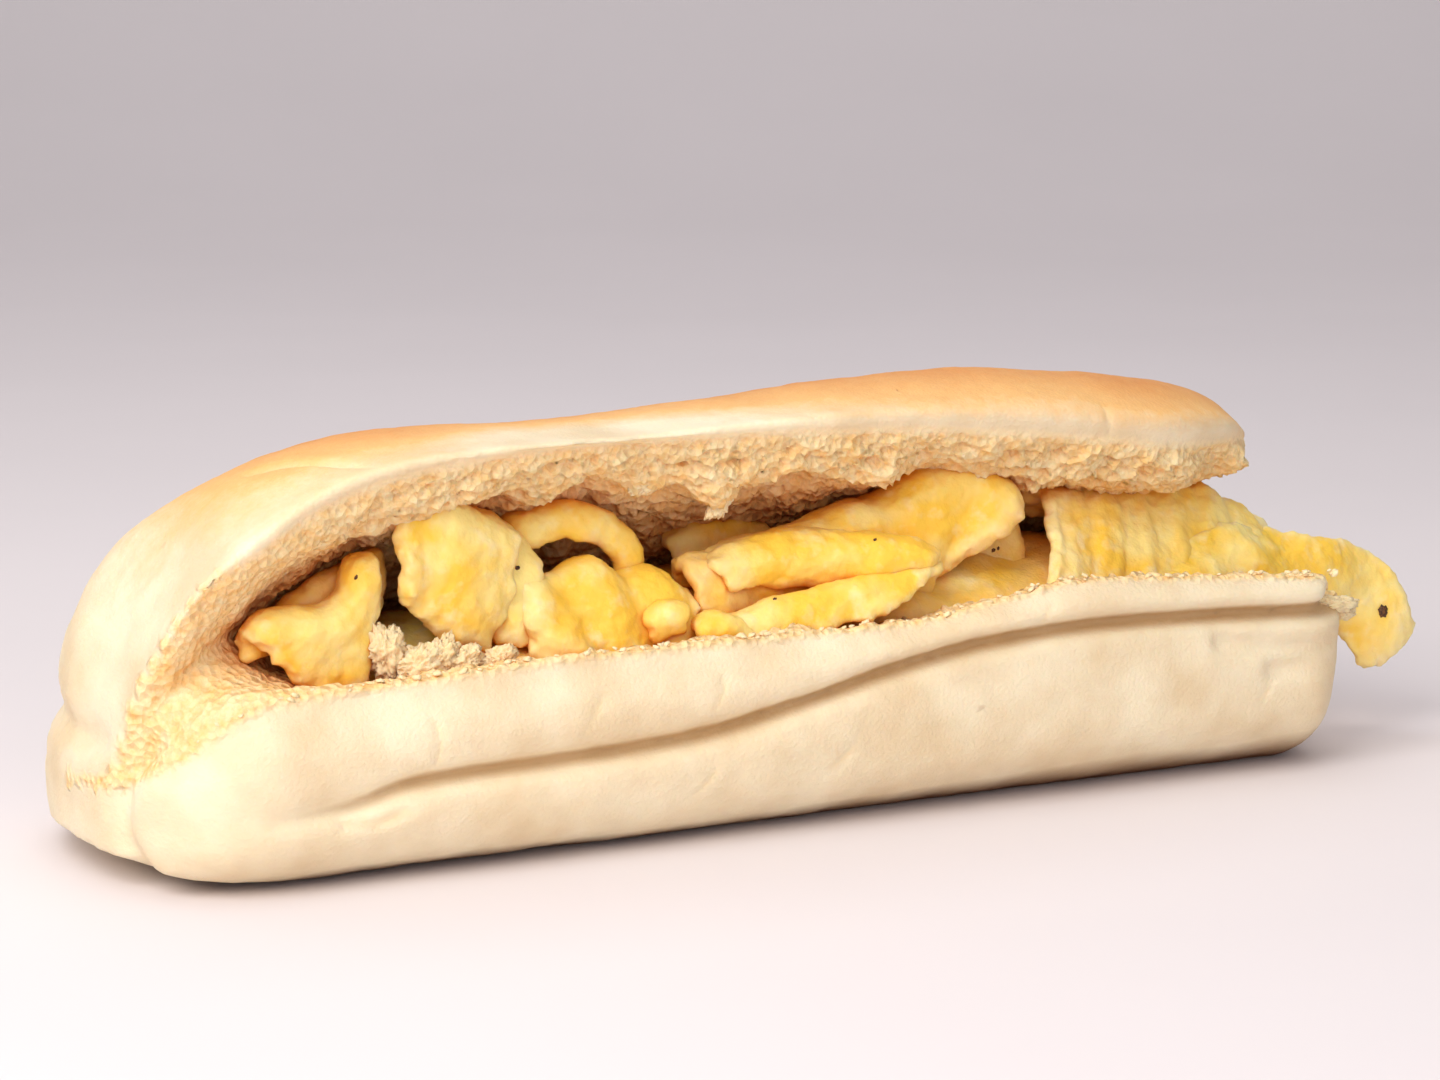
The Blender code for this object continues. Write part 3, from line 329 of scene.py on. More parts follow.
def pores(points, grain, seed):
    """The distance from each point to the nearest of scattered bubble middles, as a share of the grain."""
    offset = Vector((seed, 0, 1.3 * seed))
    return np.array([noise.voronoi(Vector(p) / grain + offset)[0][0] for p in points])


def mesh_object(name, points, faces, material):
    """An object of this mesh, moved into the frame and in metres, with its faces pointing out."""
    mesh = bpy.data.meshes.new(name)
    mesh.from_pydata([tuple(p) for p in (np.asarray(points) + SHIFT) * MM], [], faces)
    body = bmesh.new()
    body.from_mesh(mesh)
    bmesh.ops.recalc_face_normals(body, faces=body.faces[:])
    body.to_mesh(mesh)
    body.free()
    mesh.materials.append(material)
    made = bpy.data.objects.new(name, mesh)
    bpy.context.scene.collection.objects.link(made)
    return made


def apply_modifiers(made):
    """Replaces the object's mesh by what its modifiers make of it."""
    bpy.context.view_layer.update()
    graph = bpy.context.evaluated_depsgraph_get()
    mesh = bpy.data.meshes.new_from_object(made.evaluated_get(graph))
    made.modifiers.clear()
    old = made.data
    made.data = mesh
    bpy.data.meshes.remove(old)


def skin_over(made, voxel, smoothing=0):
    """Makes one clean closed skin round the shape, and softens it."""
    skin = made.modifiers.new("skin", "REMESH")
    skin.mode = "VOXEL"
    skin.voxel_size = voxel * MM
    if smoothing:
        soft = made.modifiers.new("soft", "SMOOTH")
        soft.factor = 0.5
        soft.iterations = smoothing
    apply_modifiers(made)


def keep_faces(made, triangles):
    """Reduces the shape to about this many triangles, most of them where it curves most."""
    sides = sum(len(face.vertices) - 2 for face in made.data.polygons)
    if sides > triangles:
        fewer = made.modifiers.new("fewer", "DECIMATE")
        fewer.ratio = triangles / sides
        apply_modifiers(made)


def read_points(made):
    """The object's points as an array, in millimetres from the middle of the roll."""
    points = np.empty(len(made.data.vertices) * 3, np.float32)
    made.data.vertices.foreach_get("co", points)
    return points.reshape(-1, 3).astype(float) / MM - SHIFT


def write_points(made, points):
    made.data.vertices.foreach_set("co", ((points + SHIFT) * MM).astype(np.float32).reshape(-1))
    made.data.update()


def read_normals(made):
    normals = np.empty(len(made.data.vertices) * 3, np.float32)
    made.data.vertices.foreach_get("normal", normals)
    return normals.reshape(-1, 3).astype(float)


def write_share(made, name, values):
    """Stores one number between 0 and 1 at each point, for the material to read."""
    layer = made.data.attributes.new(name, "FLOAT", "POINT")
    layer.data.foreach_set("value", np.clip(values, 0, 1).astype(np.float32))


def nearby(source, values, targets, count=4):
    """Each target's mean of the values at its nearest source points, the nearest counting most."""
    tree = kdtree.KDTree(len(source))
    for n, point in enumerate(source):
        tree.insert(point, n)
    tree.balance()
    found = np.empty((len(targets), values.shape[1]))
    for n, target in enumerate(targets):
        hits = tree.find_n(target, count)
        weights = np.array([1 / (hit[2] + 0.05) ** 2 for hit in hits])
        found[n] = weights @ values[[hit[1] for hit in hits]] / weights.sum()
    return found


def roll_marks(points):
    """What each raw point of the roll is: (crumb, distance from the base's lip, distance from the lid's edge, slit
    depth).
    """
    ring = 2 * RING_STEPS
    place = np.arange(len(points)) % ring
    crumb = ((place > RING_STEPS) | (place == 0)).astype(float)
    rings = points.reshape(-1, ring, 3)
    to_lip = np.linalg.norm(rings - rings[:, :1], axis=2).reshape(-1)
    to_edge = np.linalg.norm(rings - rings[:, RING_STEPS : RING_STEPS + 1], axis=2).reshape(-1)
    deep = smooth_keys(points[:, 0], SLIT_DEPTH)
    return np.column_stack([crumb, to_lip, to_edge, deep])


# Wrinkles and cracks in the crust, as (depth, width, points): fine slanted lines in the skin of the front
# wall and of the lid's band
CRACKS = [
    (0.35, 0.5, [(-55, -27, 22), (-53.5, -27, 18), (-53.8, -27, 14.6)]),
    (0.5, 0.7, [(-58, -27, 9.2), (-62, -27, 8.2), (-66, -27, 8.6)]),
    (0.3, 0.45, [(-31, -27, 24), (-32.2, -27, 20), (-34.2, -27, 16.5)]),
    (0.3, 0.45, [(-16, -27, 22.8), (-15.2, -27, 20.4), (-16.6, -27, 17.6)]),
    (0.3, 0.45, [(-16.5, -27, 10), (-18.5, -27, 7.5), (-22, -27, 5.5)]),
    (0.35, 0.45, [(5, -27, 15.2), (3, -27, 11), (-1, -27, 7.6), (-5, -27, 6)]),
    (0.3, 0.4, [(34, -27, 27.6), (31.5, -27, 25.6), (30.4, -27, 23.4)]),
    (0.3, 0.4, [(67, -27.5, 15), (66, -27.5, 12.6), (64.6, -27, 10.6)]),
    (0.35, 0.4, [(26.4, -21, 53), (26.8, -22, 51), (26.6, -21.5, 48.8)]),
    (0.25, 0.35, [(-1, -17, 53), (1.5, -20.6, 51.6), (2.6, -20.5, 50.6)]),
    (0.3, 0.4, [(45, -18, 51), (44.6, -20, 49), (45.4, -19.4, 46.8)]),
    (0.8, 0.8, [(-69, -6, 48), (-62, -15, 50), (-58.5, -20.6, 49)]),
    (0.6, 0.7, [(-79.5, -21, 38), (-81.6, -21.4, 34), (-82.6, -21, 31)]),
]


# Torn lumps (outward) and hollows (inward) in the crumb, as (x, y, z, radius, outward)
TORN = [(-10.5, -14.5, 43.4, 3.4, 2.2), (-7.5, -14, 41.5, 2.0, 1.2), (-15.5, -12, 44, 3.0, -2.2),
        (-4, -12, 42.5, 3.6, -2.4), (3, -13, 43, 4.0, -1.8), (-27, -11, 44, 4.0, -2.6), (-21, -13, 45, 2.4, 1.6),
        (-34, -13, 44.5, 2.4, 1.2), (-41, -12, 43, 4.0, -1.8), (-60, -16, 38, 3.0, 1.4),
        (-66, -15, 33, 3.4, -1.2), (-71, -17, 30, 2.4, 1.2), (14, -15, 44, 2.6, 1.6), (22, -13, 43.5, 3.4, -1.6),
        (39, -12, 41.5, 2.6, 1.8), (46, -13, 42, 2.4, -1.6), (58, -13, 42, 2.8, 1.4), (66, -11, 40, 3.0, -1.6),
        (72, -10, 40, 2.2, 1.4)]


def make_roll():
    """The bread: the slit roll with its creases, torn crumb and cracked crust, as one fine mesh."""
    sizes = bpy.context.scene.sandwich_roll
    raw, faces = roll_points()
    marks = roll_marks(raw)
    raw = raw - [0, 0, FOOT_CUT]
    material = bread_material()
    made = mesh_object("roll", raw, faces, material)
    for depth, width, line in (END_TEAR, HINGE_PRESS, UPPER_PRESS, LOWER_PRESS):
        points = read_points(made)
        write_points(made, points - read_normals(made) * (depth * along_line(points, line, width))[:, None])
    skin_over(made, sizes.voxel / MM, smoothing=1)

    points = read_points(made)
    crumb, to_lip, to_edge, deep = nearby(raw, marks, points).T
    cut = np.minimum(to_lip, to_edge)
    normals = read_normals(made)
    torn = crumb * np.clip(cut / 2.5, 0.15, 1) * np.clip(deep, 0.25, 1)
    stretched = points * [0.75, 1.0, 1.15]
    lumps = relief(stretched, 5.5, 3.0)
    fibres = relief(points * [0.5, 1.0, 1.3], 2.0, 5.0)
    holes = np.clip(0.62 - pores(stretched, 2.6, 7.0), 0, 1)
    ridges = 0.5 - np.abs(relief(points * [0.8, 1.0, 1.2] + lumps[:, None], 3.4, 15.0, 4))
    moved = torn * (0.8 * lumps + 0.35 * fibres + 1.5 * ridges - 1.5 * holes * (relief(points, 9.0, 9.0, 1) > 0))
    for x, y, z, radius, outward in TORN:
        gap = np.linalg.norm(points - [x, y, z], axis=1) / radius
        moved += crumb * outward * np.exp(-(gap**2)) * (1 + 0.5 * ridges)
    skin = (1 - crumb) * (0.16 * relief(points, 9.0, 2.0) + 0.05 * relief(points, 2.2, 8.0))
    points = points + normals * (moved + skin)[:, None]
    for depth, width, line in CRACKS:
        near = along_line(points, line, width) * (1 - crumb)
        points = points - normals * (depth * near)[:, None]
    ragged = np.clip(1 - to_lip / 1.2, 0, 1) * np.clip(deep, 0, 1)
    points[:, 2] += ragged * (0.5 * relief(points, 3.1, 11.0) + 0.35 * relief(points, 1.0, 12.0))
    points[:, 2] = np.maximum(points[:, 2], 0.0)
    write_points(made, points)
    keep_faces(made, ROLL_TRIANGLES)

    points = read_points(made)
    crumb, to_lip, to_edge, deep = nearby(raw, marks, points).T
    x, y, z = points.T
    edge_z = smooth_keys(x, LID_EDGE_HEIGHT)
    crown = smooth_keys(x, CROWN_HEIGHT)
    patches = relief(points, 22.0, 4.0, 2)
    front = np.clip((z - edge_z - 0.8) / np.maximum(crown - edge_z, 2.5), 0, 1)
    behind = np.clip((z - 22) / 26, 0, 1)
    over = np.clip((y + 14) / 12, 0, 1)
    toast = front * (1 - over) + np.maximum(front, behind) * over
    left = smooth_keys(x, [(-91, 0.05), (-80, 0.3), (-66, 0.7), (-50, 0.95), (82, 1.0)])
    toast = np.where(z > 28, toast, 0) * left * (1 + 0.22 * patches)
    # Darker along the bottom: partly the browned bottom crust, partly painted shade, reaching higher towards the right
    # end
    under = np.clip(1 - z / (2.2 + 1.2 * patches + smooth_keys(x, [(-91, 0.5), (0, 1.4), (60, 3.2), (82, 4.0)])), 0, 1)
    write_share(made, "crumb", crumb)
    write_share(made, "toast", toast)
    write_share(made, "underside", under)
    write_share(made, "cut_edge", np.clip(1 - np.minimum(to_lip, to_edge) / 1.0, 0, 1))
    cracked = np.zeros(len(points))
    for _, width, line in CRACKS:
        cracked = np.maximum(cracked, along_line(points, line, 1.2 * width))
    write_share(made, "crack", cracked)
    # Painted shade in the crease: the crust darkens along the crease line, more where the crease is deeper
    crease = np.exp(-(((z + FOOT_CUT - smooth_keys(x, CREASE_HEIGHT)) / 1.1) ** 2)) * (y < 0) * (1 - crumb)
    write_share(made, "crease", crease * smooth_keys(x, CREASE_DEPTH) / 2.2)
    made.data.shade_smooth()
    return made


def add_node(tree, kind, settings=None, inputs=None):
    """Adds a node, then its own settings, then its inputs: each a value, or another node's output to link."""
    node = tree.nodes.new(kind)
    for name, value in (settings or {}).items():
        setattr(node, name, value)
    for key, value in (inputs or {}).items():
        if isinstance(value, bpy.types.NodeSocket):
            tree.links.new(value, node.inputs[key])
        else:
            node.inputs[key].default_value = value
    return node


def new_material(name):
    """(material, node tree, shader) of a new material with one Principled shader."""
    material = bpy.data.materials.new(name)
    material.use_nodes = True
    tree = material.node_tree
    return material, tree, tree.nodes["Principled BSDF"]


MIX_FACTOR, MIX_A, MIX_B, MIX_RESULT = 0, 6, 7, 2  # a colour mix's sockets


def mix(tree, factor, first, second, blend="MIX"):
    """The colour between first and second, by the factor."""
    node = add_node(tree, "ShaderNodeMix", {"data_type": "RGBA", "blend_type": blend, "clamp_factor": True},
                    {MIX_FACTOR: factor, MIX_A: first, MIX_B: second})
    return node.outputs[MIX_RESULT]


def ranged(tree, value, low, high, to_low=0.0, to_high=1.0):
    """The value taken from one range to another, and held inside it."""
    node = add_node(tree, "ShaderNodeMapRange", {"clamp": True},
                    {"Value": value, "From Min": low, "From Max": high, "To Min": to_low, "To Max": to_high})
    return node.outputs["Result"]


def math_node(tree, operation, first, second=0.0):
    node = add_node(tree, "ShaderNodeMath", {"operation": operation}, {0: first, 1: second})
    return node.outputs[0]


def colour4(value):
    """A colour property as the four numbers that a colour socket takes."""
    return (*value[:3], 1.0)


def bread_material():
    """Soft wheat bread: a thin satin crust, pale where dough touched dough, and matt open crumb inside."""
    looks = bpy.context.scene.sandwich_roll
    material, tree, shader = new_material("baked_wheat_crust_and_torn_crumb")
    place = add_node(tree, "ShaderNodeTexCoord").outputs["Object"]
    share = {name: add_node(tree, "ShaderNodeAttribute", {"attribute_name": name}).outputs["Fac"]
             for name in ("crumb", "toast", "underside", "cut_edge", "crack", "crease")}
    # Noise scales are one over the size in metres: 12 mm blotches, 2 mm mottling, 0.5 mm grain
    blotch = add_node(tree, "ShaderNodeTexNoise", {}, {"Vector": place, "Scale": 85.0, "Detail": 3.0}).outputs["Fac"]
    mottle = add_node(tree, "ShaderNodeTexNoise", {}, {"Vector": place, "Scale": 480.0, "Detail": 4.0,
                                                       "Roughness": 0.65}).outputs["Fac"]
    grain = add_node(tree, "ShaderNodeTexNoise", {}, {"Vector": place, "Scale": 1900.0, "Detail": 3.0}).outputs["Fac"]
    crust = mix(tree, ranged(tree, blotch, 0.35, 0.65), colour4(looks.crust_pale), colour4(looks.crust_cream))
    uneven = math_node(tree, "MULTIPLY_ADD", math_node(tree, "SUBTRACT", mottle, 0.5), 0.35)
    tree.nodes[-1].inputs[2].default_value = 0.0
    baked = math_node(tree, "ADD", share["toast"], uneven)
    crust = mix(tree, ranged(tree, baked, 0.08, 0.5), crust, colour4(looks.crust_gold))
    crust = mix(tree, ranged(tree, baked, 0.45, 1.05), crust, colour4(looks.crust_brown))
    # Darker along the bottom: browned bottom crust and painted shade
    crust = mix(tree, ranged(tree, share["underside"], 0.15, 0.9), crust, colour4(looks.crust_under_and_shade))
    # Painted shade along the pressed crease
    crust = mix(tree, ranged(tree, share["crease"], 0.3, 1.0, 0.0, 0.75), crust, colour4(looks.crease_shade_tan))
    crust = mix(tree, ranged(tree, share["crack"], 0.3, 1.0, 0.0, 0.45), crust, colour4(looks.crumb_white))
    crust = mix(tree, ranged(tree, share["cut_edge"], 0.2, 0.9, 0.0, 0.55), crust, colour4(looks.crumb_white))
    crumb = mix(tree, ranged(tree, mottle, 0.3, 0.7), colour4(looks.crumb_warm), colour4(looks.crumb_white))
    # Painted shade: ambient occlusion darkens the crumb towards its hollow-shade colour in the crumb's hollows and
    # recesses
    hollow_shade = add_node(tree, "ShaderNodeAmbientOcclusion", {"samples": 6}, {"Distance": 0.012}).outputs["AO"]
    crumb = mix(tree, ranged(tree, hollow_shade, 0.05, 0.6), colour4(looks.crumb_hollow_shade), crumb)
    colour = mix(tree, share["crumb"], crust, crumb)
    tree.links.new(colour, shader.inputs["Base Color"])
    # Flour-dusted crust is satin, and open crumb has no shine at all
    rough = ranged(tree, share["crumb"], 0.3, 0.7, 0.56, 0.95)
    tree.links.new(rough, shader.inputs["Roughness"])
    shader.inputs["IOR"].default_value = 1.45
    shader.inputs["Specular IOR Level"].default_value = 0.35
    shader.inputs["Subsurface Weight"].default_value = 0.25
    shader.inputs["Subsurface Radius"].default_value = (1.0, 0.55, 0.28)
    shader.inputs["Subsurface Scale"].default_value = 0.0022
    fine = add_node(tree, "ShaderNodeBump", {}, {"Strength": 0.35, "Distance": 0.0004, "Height": grain}).outputs[0]
    holes = add_node(tree, "ShaderNodeTexVoronoi", {}, {"Vector": place, "Scale": 900.0}).outputs["Distance"]
    open_crumb = math_node(tree, "MULTIPLY", holes, share["crumb"])
    bumpy = add_node(tree, "ShaderNodeBump", {}, {"Strength": 0.8, "Distance": 0.0009, "Height": open_crumb,
                                                  "Normal": fine}).outputs[0]
    tree.links.new(bumpy, shader.inputs["Normal"])
    return material


def hanging_line(walk, length, radius, fall, belly, curl):
    """Where a sheet lies after walk millimetres from its crest, as (away, down), for arrays of one shape.

    It bends by fall degrees over the radius, then by belly over its length, and curls at its edge.
    """
    fine = np.linspace(0, 1, 33)
    s = walk[..., None] * fine
    share = s / np.maximum(length, 1e-6)[..., None]
    turned = s / np.maximum(radius * np.radians(np.maximum(fall, 1)), 1e-6)[..., None]
    over = np.clip(turned, 0, 1)
    edge = np.clip((share - 0.7) / 0.3, 0, 1)
    angle = np.radians(
        fall[..., None] * over * over * (3 - 2 * over)
        + belly[..., None] * share
        + curl[..., None] * edge * edge
    )
    step = walk / (len(fine) - 1)
    away = (np.cos(angle[..., 1:]) + np.cos(angle[..., :-1])).sum(axis=-1) * 0.5 * step
    down = (np.sin(angle[..., 1:]) + np.sin(angle[..., :-1])).sum(axis=-1) * 0.5 * step
    return away, down


def keyed(piece, name, u, default):
    """A value of the piece along its crest, given as one number or as (u, value) keys."""
    value = piece.get(name, default)
    return smooth_keys(u, value) if isinstance(value, list) else np.full_like(u, value)


def sheet_surface(piece, along, across):
    """The middle surface of a folded sheet, as along by across points from its front edge to its back edge.

    The sheet hangs from its crest: forward and down in front, and back and down behind.
    """
    crest = smooth_path(piece["crest"], along)
    tangent = np.gradient(crest, axis=0)
    tangent /= np.linalg.norm(tangent, axis=1)[:, None]
    forward = np.array([0, -1.0, 0]) - tangent * (tangent @ np.array([0, -1.0, 0]))[:, None]
    forward /= np.linalg.norm(forward, axis=1)[:, None]
    up = np.cross(forward, tangent)
    if not piece.get("square", False):
        up = np.array([0, 0, 1.0]) - forward * forward[:, 2:]
        up /= np.linalg.norm(up, axis=1)[:, None]
    u, v = np.meshgrid(np.linspace(-1, 1, along), np.linspace(-1, 1, across), indexing="ij")
    rounding = piece.get("rounding", 0.45)
    u, v = u * np.sqrt(1 - rounding * v * v / 2), v * np.sqrt(1 - rounding * u * u / 2)
    place = (u + 1) / 2
    front = v < 0
    length = np.where(front, keyed(piece, "front", place, 8.0), keyed(piece, "back", place, 4.0))
    radius = np.where(front, keyed(piece, "radius", place, 2.2), keyed(piece, "back_radius", place, 2.0))
    fall = np.where(front, keyed(piece, "fall", place, 90.0), keyed(piece, "back_fall", place, 75.0))
    belly = np.where(front, keyed(piece, "belly", place, 0.0), 0.0)
    curl = np.where(front, keyed(piece, "curl", place, 0.0), 0.0)
    away, down = hanging_line(np.abs(v) * length, length, radius, fall, belly, curl)
    away = np.where(front, away, -away)
    lean = np.radians(keyed(piece, "lean", place, 0.0))
    ahead = away * np.cos(lean) - down * np.sin(lean)
    below = down * np.cos(lean) + away * np.sin(lean)
    index = place * (along - 1)
    low = np.clip(index.astype(int), 0, along - 2)
    part = (index - low)[..., None]

    def between(values):
        return values[low] * (1 - part) + values[low + 1] * part

    spot = between(crest) + between(forward) * ahead[..., None] - between(up) * below[..., None]
    slide = keyed(piece, "skew", place, 0.0) * np.abs(v) ** SKEW_GROWTH * front
    return spot + between(tangent) * slide[..., None]


def surface_normals(surface):
    """Unit normals of a surface given as a grid of points."""
    normal = np.cross(np.gradient(surface, axis=0), np.gradient(surface, axis=1))
    return normal / np.maximum(np.linalg.norm(normal, axis=2), 1e-9)[:, :, None]


def rim_shares(rows, columns):
    """How near each point of a sheet's grid is to its rim: 0 in the middle, 1 on the rim."""
    u = np.linspace(0, 1, rows)[:, None]
    v = np.linspace(0, 1, columns)[None, :]
    return np.maximum(np.abs(2 * u - 1), np.abs(2 * v - 1))


def rippled(surface, piece):
    """The surface with its pleats, its frilled and torn edge and its uneven cooked relief."""
    rows, columns = surface.shape[:2]
    u = np.linspace(0, 1, rows)[:, None]
    v = np.linspace(0, 1, columns)[None, :]
    height, waves, lean = piece.get("pleats", (0.0, 1.0, 0.0))
    pleat = height * np.sin(2 * math.pi * (waves * u + lean * v) + piece["seed"])
    fine, fines, slant = piece.get("fine_pleats", (0.0, 1.0, 0.0))
    pleat = pleat + fine * np.sin(2 * math.pi * (fines * u + slant * v))
    lift, reach = piece.get("lift", (0.0, 1.0))
    pleat = pleat + lift * np.clip(1 - u / reach, 0, 1) ** 2
    frill, frills = piece.get("frill", (0.5, 4.0))
    edge = rim_shares(rows, columns) ** 6
    wave = frill * edge * np.sin(2 * math.pi * frills * (u + v) + 2.3 * piece["seed"])
    bumps = relief(surface.reshape(-1, 3), EGG_GRAIN, piece["seed"]).reshape(rows, columns) * EGG_RELIEF
    surface = surface + surface_normals(surface) * (pleat + wave + bumps)[:, :, None]
    torn, torn_grain = piece.get("torn", (0.5, 2.2))
    middle = surface.mean(axis=(0, 1))
    out = surface - middle
    out /= np.maximum(np.linalg.norm(out, axis=2), 1e-6)[:, :, None]
    ragged = relief(surface.reshape(-1, 3), torn_grain, piece["seed"] + 20).reshape(rows, columns)
    return surface + out * (torn * ragged * edge)[:, :, None]


def sheet_mesh(piece, along, across):
    """(points, faces, rims) of a folded sheet of omelette; rims says how near each point is to its rim."""
    surface = rippled(sheet_surface(piece, along, across), piece)
    normal = surface_normals(surface)
    rim = rim_shares(along, across)
    thin = 1 - (1 - SHEET_RIM) * np.clip((rim - 0.8) / 0.2, 0, 1) ** 2
    half = piece.get("thick", SHEET_THICKNESS) / 2 * thin
    over = surface + normal * half[:, :, None]
    under = surface - normal * half[:, :, None]
    rows, columns = half.shape
    layer = rows * columns
    faces = []
    for i in range(rows - 1):
        for j in range(columns - 1):
            a = i * columns + j
            faces.append([a, a + columns, a + columns + 1, a + 1])
            faces.append([layer + a, layer + a + 1, layer + a + columns + 1, layer + a + columns])
    border = [j for j in range(columns)]
    border += [i * columns + columns - 1 for i in range(1, rows)]
    border += [(rows - 1) * columns + j for j in range(columns - 2, -1, -1)]
    border += [i * columns for i in range(rows - 2, 0, -1)]
    for n, a in enumerate(border):
        b = border[(n + 1) % len(border)]
        faces.append([a, b, layer + b, layer + a])
    points = np.vstack([over.reshape(-1, 3), under.reshape(-1, 3)])
    return points, faces, np.concatenate([rim.reshape(-1)] * 2)


